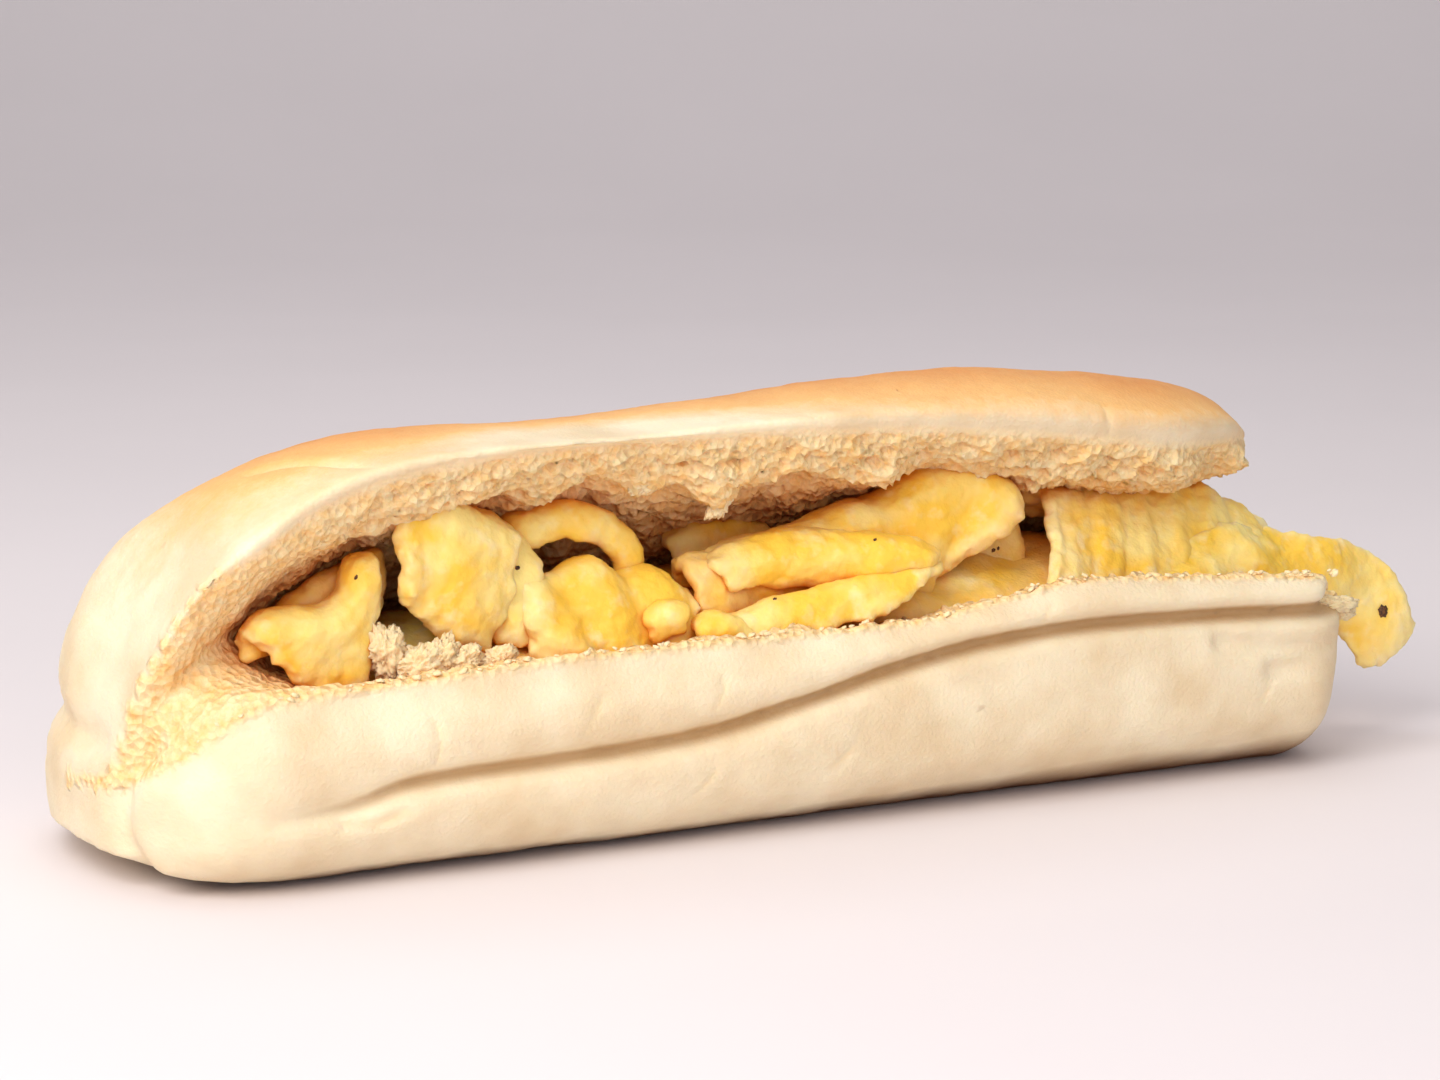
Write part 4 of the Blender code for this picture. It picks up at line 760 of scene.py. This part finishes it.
# The omelette's pieces, front ones first. A crest is the top line of the fold, in x, y and z; front and
# back are how far the sheet hangs on each side of it; fall is how far it bends down there, in degrees;
# lean tips it forward; pleats are (height, waves along it, slant), frill is (height, waves) of its edge,
# torn is (depth, grain) of its ragged edge, golden how browned its rim is, and grid is its mesh.
EGG_PIECES = {
    "egg_big_flap": {
        "crest": [(-54.2, -13.4, 43.6), (-52, -13, 45), (-48, -13, 44.2), (-44, -13, 42.2),
                  (-40.5, -12.8, 40.6), (-38, -12.6, 37.8)],
        "front": [(0, 13), (0.2, 17.5), (0.45, 19.5), (0.7, 17.5), (1, 7)], "radius": 3.0, "fall": 74,
        "belly": 34, "back": 5, "back_fall": 50, "rounding": 0.55, "thick": 2.6, "pleats": (0.4, 1.3, 0.6),
        "frill": (0.9, 6), "torn": (1.3, 1.9), "golden": 0.1, "seed": 3.0, "grid": (13, 14),
    },
    "egg_left_fold": {
        "crest": [(-73.2, -14, 29.4), (-71, -14, 31.2), (-67, -14, 31.4), (-63, -14, 31.2),
                  (-60, -13.6, 33.2), (-58, -13.2, 37), (-56, -13, 37.6)],
        "front": [(0, 8), (0.5, 12.5), (1, 17)], "radius": 2.2, "fall": 108, "belly": -22,
        "skew": [(0, 5), (0.5, 1.5), (1, -1.5)], "back": 6, "back_fall": 95, "rounding": 0.35,
        "thick": 2.8, "frill": (0.5, 3), "golden": 0.1, "seed": 2.0, "grid": (13, 11),
    },
    "egg_long_roll": {
        "crest": [(-13.5, -10.5, 32.2), (-9.5, -10, 32.8), (-3, -9, 33.6), (5, -8.5, 35.4), (13, -8, 37.2),
                  (19, -8, 39.4), (24, -8, 41.6), (28.5, -8, 42.4), (32, -8.5, 41.2), (34.8, -9.5, 38),
                  (36, -10.5, 34.5)],
        "front": [(0, 9), (0.45, 13), (0.65, 18), (0.85, 20), (1, 13)], "radius": 4.4, "fall": 72,
        "belly": 24, "back": 7, "back_radius": 3.5, "back_fall": 60, "skew": [(0, -3), (0.6, -6),
        (1, -10)], "rounding": 0.5, "pleats": (0.25, 4.3, 0.5), "frill": (0.5, 7), "golden": 0.5,
        "seed": 7.0, "grid": (20, 12),
    },
    "egg_front_flap": {
        "crest": [(-10.5, -12.5, 33), (-4, -12.5, 34.8), (3, -13.2, 35.4), (10, -14.8, 34.8),
                  (16, -16.2, 33.8), (20.6, -17, 32.2)],
        "front": [(0, 6), (0.5, 8.5), (1, 3)], "radius": 3.6, "fall": 98, "belly": 24, "back": 5,
        "back_fall": 12, "thick": 2.4, "frill": (0.4, 4), "torn": (0.8, 1.8), "golden": 0.35, "seed": 8.0,
        "grid": (15, 10),
    },
    "egg_lower_lip": {
        "crest": [(-11, -17.6, 26), (-4, -18, 27.8), (4, -18.4, 29.2), (11, -18.8, 30), (16.5, -18.8, 30.8),
                  (19.6, -18.6, 31)],
        "front": [(0, 4), (0.5, 5.5), (0.85, 4.5), (1, 2)], "radius": 2.2, "fall": 62, "belly": 12,
        "back": 3, "back_fall": 60, "skew": [(0, 0), (1, -3)], "rounding": 0.25, "thick": 1.8,
        "frill": (0.5, 6), "torn": (1.5, 1.5), "golden": 0.1, "seed": 6.0, "grid": (13, 8),
    },
    "egg_tail": {
        "crest": [(55, -16.5, 22.6), (61, -15.2, 26), (68, -13.4, 28), (76, -12, 27.2), (84, -11, 24.8),
                  (90, -10.3, 22), (93.6, -10, 18.4), (96.2, -10.3, 14.4), (98.5, -10.6, 10.4)],
        "front": [(0, 4), (0.5, 5), (0.72, 5), (1, 5.6)], "radius": 3.0, "fall": 8, "belly": 8,
        "back": [(0, 3), (0.3, 4.2), (0.6, 4), (0.8, 6.8), (1, 5.6)], "back_fall": 8,
        "lean": [(0, 48), (0.5, 52), (0.68, 70), (0.82, 88), (1, 92)], "rounding": 0.3, "thick": 1.9,
        "pleats": (0.5, 3.3, 0.35), "frill": (0.5, 6), "torn": (0.9, 1.7), "golden": 0.15, "square": True,
        "seed": 12.0, "grid": (22, 8),
    },
    "egg_pleated": {
        "crest": [(41.5, -6.4, 36.8), (46, -5.4, 37.2), (54, -3.8, 37), (62, -3.2, 36.4), (69, -3.2, 34.8),
                  (75, -4, 32), (80, -5, 29)],
        "front": [(0, 19), (0.4, 20), (1, 14)], "radius": 5.5, "fall": 44, "belly": 14, "back": 6,
        "back_fall": 35, "skew": [(0, -13), (0.5, -7), (1, -3)], "rounding": 0.2,
        "pleats": (0.3, 6.4, 0.35), "fine_pleats": (0.16, 14.5, 0.7), "lift": (1.5, 0.09),
        "frill": (0.5, 3), "golden": 0.0, "seed": 10.0, "grid": (21, 12),
    },
    "egg_crumple": {
        "crest": [(-37, -11.5, 31.8), (-33, -12, 33), (-27, -11.8, 33.4), (-21.5, -11.6, 32.4),
                  (-17, -11.8, 31.2), (-12.5, -12.4, 29.6)],
        "front": [(0, 12), (0.5, 13), (1, 9)], "radius": 2.8, "fall": 64, "belly": 10, "back": 6,
        "back_fall": 50, "pleats": (0.8, 2.7, 0.8), "frill": (0.7, 5), "torn": (0.9, 1.9), "golden": 0.1,
        "thick": 2.2, "seed": 5.0, "grid": (16, 10),
    },
    "egg_arch": {
        "crest": [(-37, -7, 38.2), (-34, -7.4, 40), (-29, -7.8, 40.8), (-24.4, -8, 40), (-20.8, -8, 37.6),
                  (-18.6, -8, 34.4), (-19, -8, 31.6)],
        "front": 5.0, "radius": 2.4, "fall": 85, "belly": 15, "back": 3, "back_fall": 40, "thick": 2.0,
        "rounding": 0.1, "frill": (0.3, 3), "golden": 0.8, "square": True, "seed": 4.0, "grid": (14, 7),
    },
    "egg_side_fold": {
        "crest": [(-42.5, -9, 41.6), (-39, -9.6, 40), (-36.4, -10.4, 37.4), (-34, -11, 34.2)],
        "front": [(0, 18), (0.6, 15), (1, 10)], "radius": 2.6, "fall": 84, "belly": 8, "back": 3,
        "rounding": 0.3, "thick": 2.4, "golden": 0.1, "seed": 13.0, "grid": (8, 9),
    },
    "egg_roll_back": {
        "crest": [(27, -4, 39.6), (32.4, -4, 40), (36.2, -4.4, 37.8), (38, -5, 34.2), (38.8, -5.6, 30.6)],
        "front": [(0, 12), (0.5, 13), (1, 7)], "radius": 2.2, "fall": 88, "back": 3, "rounding": 0.35,
        "thick": 2.2, "golden": 0.2, "seed": 14.0, "grid": (9, 8),
    },
    "egg_left_back": {
        "crest": [(-67, -8, 29.8), (-62.5, -8, 33.2), (-57, -8, 35.4), (-53, -8, 37)],
        "front": 8, "radius": 1.4, "fall": 80, "back": 3, "golden": 0.6, "thick": 2.2, "seed": 15.0,
        "grid": (8, 6),
    },
    "egg_nub_left": {
        "crest": [(-20.6, -16.4, 26.8), (-18.4, -16.8, 28.8), (-15.6, -16.8, 28)],
        "front": 4.4, "radius": 1.7, "fall": 95, "belly": 20, "back": 3, "rounding": 0.8, "thick": 2.2,
        "frill": (0.4, 2), "golden": 0.9, "seed": 16.0, "grid": (7, 7),
    },
    "egg_nub_right": {
        "crest": [(-15.4, -18, 26), (-12.6, -18.4, 27.2), (-9.6, -18.6, 26.2), (-7.4, -18.8, 24.4)],
        "front": 4, "radius": 1.6, "fall": 95, "belly": 10, "back": 2.5, "rounding": 0.8, "thick": 2.0,
        "frill": (0.3, 2), "golden": 0.2, "seed": 17.0, "grid": (8, 6),
    },
    "egg_back_sliver": {
        "crest": [(-9, 2, 33.2), (-4.5, 2, 35), (1, 2, 35.2), (6, 2.5, 33.6)],
        "front": 6, "radius": 1.8, "fall": 80, "back": 3, "thick": 2.2, "golden": 0.5, "seed": 9.0,
        "grid": (7, 6),
    },
    "egg_bed": {
        "crest": [(-62, -2, 20), (-45, -2, 22.6), (-25, -2, 24.2), (0, -2, 25.2), (40, -2, 25.6),
                  (62, -2, 24.8), (77, -2, 22.5)],
        "front": 16, "radius": 14, "fall": 22, "back": 14, "back_radius": 20, "back_fall": 10,
        "rounding": 0.35, "thick": 10.0, "pleats": (0.5, 9.0, 0.4), "golden": 0.6, "seed": 1.0,
        "grid": (17, 8),
    },
}


def omelette_material(name, golden):
    """Thin whole-egg omelette, set in a pan: satin and a little moist, cream where it blistered, and
    deep orange-yellow painted into its folds and the gaps between pieces: painted shade, and painted glow of the light
    that comes through the sheet there."""
    looks = bpy.context.scene.sandwich_egg
    material, tree, shader = new_material("pan_set_omelette_" + name)
    place = add_node(tree, "ShaderNodeTexCoord").outputs["Object"]
    rim = add_node(tree, "ShaderNodeAttribute", {"attribute_name": "rim"}).outputs["Fac"]
    # 10 mm cloudy patches, 2.5 mm curds, 0.4 mm skin grain
    cloud = add_node(tree, "ShaderNodeTexNoise", {}, {"Vector": place, "Scale": 105.0, "Detail": 3.0,
                                                      "Distortion": 0.4}).outputs["Fac"]
    curd = add_node(tree, "ShaderNodeTexNoise", {}, {"Vector": place, "Scale": 400.0, "Detail": 3.0}).outputs["Fac"]
    grain = add_node(tree, "ShaderNodeTexNoise", {}, {"Vector": place, "Scale": 1500.0, "Detail": 2.0}).outputs["Fac"]
    body = mix(tree, ranged(tree, cloud, 0.42, 0.62), colour4(looks.yolk_yellow), colour4(looks.pale_yellow))
    body = mix(tree, ranged(tree, curd, 0.55, 0.75, 0.0, 0.5), body, colour4(looks.cream))
    worn = math_node(tree, "ADD", rim, math_node(tree, "MULTIPLY", math_node(tree, "SUBTRACT", curd, 0.5), 0.5))
    edge = mix(tree, golden, colour4(looks.cream), colour4(looks.golden))
    body = mix(tree, ranged(tree, worn, 0.75, 1.05, 0.0, 0.6), body, edge)
    # Painted shade: ambient occlusion turns the omelette deep orange in its folds and in the gaps between pieces
    hollow_shade = add_node(tree, "ShaderNodeAmbientOcclusion", {"samples": 6}, {"Distance": 0.011}).outputs["AO"]
    body = mix(tree, ranged(tree, hollow_shade, 0.0, 0.45), colour4(looks.fold_shade_orange), body)
    tree.links.new(body, shader.inputs["Base Color"])
    shader.inputs["Roughness"].default_value = 0.42
    shader.inputs["IOR"].default_value = 1.38
    shader.inputs["Specular IOR Level"].default_value = 0.4
    shader.inputs["Subsurface Weight"].default_value = 0.35
    shader.inputs["Subsurface Radius"].default_value = (1.0, 0.55, 0.12)
    shader.inputs["Subsurface Scale"].default_value = 0.003
    soft = add_node(tree, "ShaderNodeBump", {}, {"Strength": 0.5, "Distance": 0.0006, "Height": curd}).outputs[0]
    fine = add_node(tree, "ShaderNodeBump", {}, {"Strength": 0.3, "Distance": 0.0003, "Height": grain,
                                                 "Normal": soft}).outputs[0]
    tree.links.new(fine, shader.inputs["Normal"])
    return material


def make_egg(name, piece):
    """One folded piece of omelette, as a soft closed skin."""
    sizes = bpy.context.scene.sandwich_egg
    along, across = (EGG_FINENESS * count for count in piece["grid"])
    raw, faces, rims = sheet_mesh(piece, along, across)
    made = mesh_object("dressed_" + name, raw, faces, omelette_material(name[4:], piece["golden"]))
    voxel = sizes.bed_voxel if name == "egg_bed" else sizes.voxel
    skin_over(made, voxel / MM, smoothing=4)
    points = read_points(made)
    curds = 0.22 * relief(points, 3.4, piece["seed"] + 40) + 0.07 * relief(points, 1.1, piece["seed"] + 50)
    write_points(made, points + read_normals(made) * curds[:, None])
    write_share(made, "rim", nearby(raw, rims[:, None], read_points(made), 3)[:, 0])
    made.data.shade_smooth()
    return made


# Torn crumb caught on the filling and along the cuts, as (x, y, z, length, width, turn in degrees)
SHREDS = [(-57, -14.6, 32.6, 4.6, 1.7, 72), (-55.6, -16, 26.4, 6, 4.4, 100), (-51.6, -17.4, 24.6, 6.5, 4.6, 20),
          (-49.4, -18, 25.4, 5, 3.6, 78), (-46.6, -18.4, 24.8, 5, 3.2, 25),
          (-42, -19, 25, 4, 2.6, 10), (-9.6, -14.4, 41.4, 4.6, 3.0, 70),
          (41.4, -11, 41.6, 4, 2.6, 105), (-27, -14.6, 29.5, 3.4, 1.2, 20),
          (-24, -15, 27.4, 3, 1.2, 80), (79.6, -23, 21.6, 6, 1.8, -4), (82, -21, 20, 3.6, 2.0, 10), (-20, -15, 44.4, 4.4, 2.2, 15), (58, -15, 42.2, 4.4, 2.4, -15)]
LIP_CRUMBS = 110
# Pepper, and one browned dot on the tail, as (x, z, radius), seen from the front
SPECKS = [(-37.5, 35.0, 0.28), (-59.5, 36.0, 0.26), (-57.8, 27.9, 0.26), (10.7, 35.2, 0.24), (-4.0, 28.9, 0.24),
          (34.5, 30.3, 0.26), (35.3, 30.5, 0.22), (96.3, 17.0, 0.75)]


def lump(size, turn, seed, fineness):
    """(points, faces) of a small torn lump round the origin: a ball drawn out to the size and roughened."""
    ball = bmesh.new()
    bmesh.ops.create_icosphere(ball, subdivisions=fineness, radius=0.5)
    points = np.array([vert.co[:] for vert in ball.verts])
    faces = [[vert.index for vert in face.verts] for face in ball.faces]
    ball.free()
    out = points / 0.5
    rough = relief(points * 3.0, 1.0, seed, 4) + 0.5 - np.abs(relief(points * 6.0, 1.0, seed + 3, 3))
    points = points * (1 + 0.4 * rough)[:, None] + 0.05 * out * relief(points, 0.2, seed + 7)[:, None]
    points = points * size
    angle = math.radians(turn)
    across = np.array([[math.cos(angle), 0, math.sin(angle)], [0, 1, 0], [-math.sin(angle), 0, math.cos(angle)]])
    return points @ across, faces


def make_torn_crumb():
    """Shreds of crumb on the filling and the torn fluff along the cut edges, as one mesh."""
    chance = np.random.default_rng(7)
    lumps = []
    for n, (x, y, z, length, width, turn) in enumerate(SHREDS):
        points, faces = lump(np.array([length, 0.7 * width, width]), turn, 31.0 + n, 5)
        lumps.append((points + [x, y, z], faces))
    for n in range(LIP_CRUMBS):
        x = chance.uniform(-84, 79)
        outer, _ = section(x)
        y, z = outer[0]
        size = chance.uniform(0.3, 0.75) * np.array([1.6, 1.0, 0.8])
        points, faces = lump(size, chance.uniform(-40, 40), 60.0 + n, 2)
        lumps.append((points + [x, y + chance.uniform(-0.2, 1.2), z - FOOT_CUT + chance.uniform(-0.3, 0.25)], faces))
    starts = np.cumsum([0] + [len(points) for points, _ in lumps])
    joined = [[v + start for v in face] for start, (_, faces) in zip(starts, lumps) for face in faces]
    made = mesh_object("torn_crumb", np.vstack([points for points, _ in lumps]), joined, bread_material())
    count = len(made.data.vertices)
    write_share(made, "crumb", np.full(count, 0.3))
    write_share(made, "cut_edge", np.ones(count))
    write_share(made, "crack", np.ones(count))
    made.data.shade_smooth()
    return made


def pepper_material():
    """Cracked black pepper and fried specks: dull dark brown, uneven like broken husk."""
    material, tree, shader = new_material("cracked_black_pepper")
    place = add_node(tree, "ShaderNodeTexCoord").outputs["Object"]
    husk = add_node(tree, "ShaderNodeTexNoise", {}, {"Vector": place, "Scale": 3000.0, "Detail": 2.0}).outputs["Fac"]
    dark, light = (*linear("#3A2212"), 1.0), (*linear("#7A4A20"), 1.0)
    tree.links.new(mix(tree, ranged(tree, husk, 0.4, 0.65), dark, light), shader.inputs["Base Color"])
    shader.inputs["Roughness"].default_value = 0.7
    return material


def make_pepper(eggs):
    """Specks that lie on the omelette, each found by looking straight in from the front."""
    lumps = []
    for n, (x, z, radius) in enumerate(SPECKS):
        start = Vector((np.array([x, -60.0, z]) + SHIFT) * MM)
        hits = [egg.ray_cast(start, Vector((0, 1, 0))) for egg in eggs]
        found = [(hit[1] - start).length for hit in hits if hit[0]]
        if found:
            y = -60.0 + min(found) / MM
            points, faces = lump(np.array([2.2, 0.8, 1.8]) * radius, 40.0 * n, 90.0 + n, 3)
            lumps.append((points + [x, y, z], faces))
    starts = np.cumsum([0] + [len(points) for points, _ in lumps])
    joined = [[v + start for v in face] for start, (_, faces) in zip(starts, lumps) for face in faces]
    made = mesh_object("pepper", np.vstack([points for points, _ in lumps]), joined, pepper_material())
    made.data.shade_smooth()
    return made


def colour_property(name, description, code):
    return FloatVectorProperty(name=name, description=description, subtype="COLOR", size=3, min=0.0, max=1.0,
                               default=linear(code))


class RollSettings(bpy.types.PropertyGroup):
    """Sizes and colours of the bread."""

    voxel: FloatProperty(name="Skin step", description="Spacing of the bread's mesh", default=0.5 * MM,
                         unit="LENGTH")
    crust_pale: colour_property("Pale crust", "Crust that was baked against its neighbour", "#F2E2C2")
    crust_cream: colour_property("Cream crust", "Crust of the front wall", "#E4CCA6")
    crust_gold: colour_property("Golden crust", "Crust on the lid's shoulder", "#F0BC78")
    crust_brown: colour_property("Brown crust", "Crust on the lid's crown", "#DC914C")
    # Browned bottom crust together with painted shade along the base, deepest at the right end
    crust_under_and_shade: colour_property("Underside", "Crust that lay on the baking sheet", "#7E4C24")
    # Painted shade at the bottom of the pressed crease
    crease_shade_tan: colour_property("Crease", "Bottom of the pressed crease", "#B98A50")
    crumb_white: colour_property("White crumb", "Torn edges of the crumb", "#FBE3B4")
    crumb_warm: colour_property("Warm crumb", "The crumb's usual tone", "#F8C67E")
    # Painted shade of the crumb's hollows, mixed in by ambient occlusion
    crumb_hollow_shade: colour_property("Deep crumb", "Crumb in its hollows", "#DA8B40")


class EggSettings(bpy.types.PropertyGroup):
    """Sizes and colours of the omelette."""

    voxel: FloatProperty(name="Skin step", description="Spacing of the omelette's mesh", default=0.4 * MM,
                         unit="LENGTH")
    bed_voxel: FloatProperty(name="Bed step", description="Spacing of the bed's mesh", default=0.7 * MM,
                             unit="LENGTH")
    yolk_yellow: colour_property("Yolk yellow", "The omelette's deeper patches", "#FECB4C")
    pale_yellow: colour_property("Pale yellow", "The omelette's paler patches", "#FEE08C")
    cream: colour_property("Cream", "Blistered and torn places", "#FBE6B4")
    golden: colour_property("Golden", "Fried edges", "#EC9C35")
    # Painted shade and glow of the hollows between the folds, mixed in by ambient occlusion
    fold_shade_orange: colour_property("Deep orange", "Hollows between the folds", "#EA8F1E")


class StageSettings(bpy.types.PropertyGroup):
    """The pale floor and the camera."""

    floor: colour_property("Floor", "Colour of the floor and of the wall behind", "#E8DFE0")
    lens: FloatProperty(name="Lens", description="Focal length", default=100.0, unit="CAMERA")
    distance: FloatProperty(name="Distance", description="From the camera to its target", default=520.3 * MM,
                            unit="LENGTH")


def dress(made, slot, *nodes):
    """Lets the piece ride on the part's one body, in place of the CAD nodes named."""
    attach(made, "root")
    if nodes:
        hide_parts(*nodes)


class SANDWICH_OT_roll(bpy.types.Operator):
    """Make the split roll with its creased crust and torn crumb"""

    bl_idname = "sandwich.roll"
    bl_label = "Split Roll"

    def execute(self, context):
        dress(make_roll(), "bread", "split_roll")
        return {"FINISHED"}


class SANDWICH_OT_omelette(bpy.types.Operator):
    """Make every folded piece of omelette"""

    bl_idname = "sandwich.omelette"
    bl_label = "Folded Omelette"

    def execute(self, context):
        for name, piece in EGG_PIECES.items():
            dress(make_egg(name, piece), "omelette", name)
        return {"FINISHED"}


class SANDWICH_OT_torn_crumb(bpy.types.Operator):
    """Make the shreds of torn crumb on the filling and along the cuts"""

    bl_idname = "sandwich.torn_crumb"
    bl_label = "Torn Crumb"

    def execute(self, context):
        dress(make_torn_crumb(), "bread")
        return {"FINISHED"}


class SANDWICH_OT_pepper(bpy.types.Operator):
    """Make the specks of pepper on the omelette"""

    bl_idname = "sandwich.pepper"
    bl_label = "Pepper"

    def execute(self, context):
        dress(make_pepper([bpy.data.objects["dressed_" + name] for name in EGG_PIECES]), "omelette")
        return {"FINISHED"}


CAMERA_AZIMUTH = -27.3
CAMERA_ELEVATION = 10.0
CAMERA_TARGET = (-2.1, 0.0, 33.4)


def area_light(name, place, target, size, power, tint):
    light = bpy.data.lights.new(name, "AREA")
    light.shape = "RECTANGLE"
    light.size, light.size_y = size
    light.energy = power
    light.color = tint
    made = bpy.data.objects.new(name, light)
    made.location = place
    made.rotation_euler = (Vector(place) - Vector(target)).to_track_quat("Z", "Y").to_euler()
    bpy.context.scene.collection.objects.link(made)


def stage_material(colour):
    """Matt painted board: even and pale, so that nothing competes with the food."""
    material, tree, shader = new_material("matt_painted_board")
    place = add_node(tree, "ShaderNodeTexCoord").outputs["Object"]
    cloud = add_node(tree, "ShaderNodeTexNoise", {}, {"Vector": place, "Scale": 9.0, "Detail": 3.0}).outputs["Fac"]
    darker = tuple(0.94 * c for c in colour[:3]) + (1.0,)
    tree.links.new(mix(tree, cloud, colour4(colour), darker), shader.inputs["Base Color"])
    shader.inputs["Roughness"].default_value = 0.85
    return material


def make_stage():
    """A floor that sweeps up behind into a wall, the camera and the lights."""
    looks = bpy.context.scene.sandwich_stage
    sweep = [(-1.6, 0.0), (0.55, 0.0), (0.75, 0.02), (0.9, 0.09), (0.98, 0.22), (1.0, 0.4), (1.0, 1.4)]
    line = smooth_path(sweep, 60)
    points = [(x, y, max(z, 0.0)) for y, z in line for x in (-2.0, 2.0)]
    faces = [[2 * i, 2 * i + 1, 2 * i + 3, 2 * i + 2] for i in range(len(line) - 1)]
    mesh = bpy.data.meshes.new("stage_floor")
    mesh.from_pydata(points, [], faces)
    mesh.materials.append(stage_material(looks.floor))
    mesh.shade_smooth()
    floor = bpy.data.objects.new("stage_floor", mesh)
    floor.rotation_euler = (0, 0, math.radians(CAMERA_AZIMUTH))
    bpy.context.scene.collection.objects.link(floor)

    turn, rise = math.radians(CAMERA_AZIMUTH), math.radians(CAMERA_ELEVATION)
    back = Vector((math.sin(turn) * math.cos(rise), -math.cos(turn) * math.cos(rise), math.sin(rise)))
    target = Vector((np.array(CAMERA_TARGET) + SHIFT) * MM)
    camera = bpy.data.cameras.new("camera")
    camera.lens = looks.lens
    camera.sensor_width = 36.0
    camera.clip_start = 0.01
    eye = bpy.data.objects.new("camera", camera)
    eye.location = target + back * looks.distance
    eye.rotation_euler = back.to_track_quat("Z", "Y").to_euler()
    bpy.context.scene.collection.objects.link(eye)
    bpy.context.scene.camera = eye

    area_light("window", (-0.42, -0.24, 0.42), target, (0.4, 0.4), 2.9, (1.0, 0.98, 0.95))
    area_light("ceiling", (0.0, 0.2, 0.8), target, (0.8, 0.8), 2.8, (1.0, 1.0, 1.0))
    area_light("front_fill", (-0.25, -0.75, 0.3), target, (0.6, 0.6), 2.2, (1.0, 0.98, 0.95))
    world = bpy.data.worlds.new("studio")
    world.use_nodes = True
    sky = world.node_tree.nodes["Background"]
    sky.inputs["Color"].default_value = (0.93, 0.95, 1.0, 1.0)
    sky.inputs["Strength"].default_value = 0.36
    bpy.context.scene.world = world
    bpy.context.scene.view_settings.view_transform = "Standard"
    

class SANDWICH_OT_stage(bpy.types.Operator):
    """Make the pale floor, the camera and the lights"""

    bl_idname = "sandwich.stage"
    bl_label = "Stage"

    def execute(self, context):
        make_stage()
        return {"FINISHED"}


class SANDWICH_PT_panel(bpy.types.Panel):
    """Lists the sandwich's settings and what makes each piece"""

    bl_idname = "SANDWICH_PT_panel"
    bl_label = "Breakfast Sandwich"
    bl_space_type = "VIEW_3D"
    bl_region_type = "UI"
    bl_category = "Sandwich"

    def draw(self, context):
        for group in (context.scene.sandwich_roll, context.scene.sandwich_egg, context.scene.sandwich_stage):
            box = self.layout.box()
            for name in group.__annotations__:
                box.prop(group, name)
        for maker in MAKERS:
            self.layout.operator(maker.bl_idname)


MAKERS = (SANDWICH_OT_stage, SANDWICH_OT_roll, SANDWICH_OT_omelette, SANDWICH_OT_torn_crumb,
          SANDWICH_OT_pepper)
GROUPS = {"sandwich_roll": RollSettings, "sandwich_egg": EggSettings, "sandwich_stage": StageSettings}


def register():
    for group in (*GROUPS.values(), *MAKERS, SANDWICH_PT_panel):
        bpy.utils.register_class(group)
    for name, group in GROUPS.items():
        setattr(bpy.types.Scene, name, PointerProperty(type=group))


def unregister():
    for name in GROUPS:
        delattr(bpy.types.Scene, name)
    for group in (SANDWICH_PT_panel, *reversed(MAKERS), *reversed(GROUPS.values())):
        bpy.utils.unregister_class(group)


def main():
    register()
    bpy.ops.sandwich.stage()
    bpy.ops.sandwich.roll()
    bpy.ops.sandwich.omelette()
    bpy.ops.sandwich.torn_crumb()
    bpy.ops.sandwich.pepper()


if __name__ == "__main__":
    main()
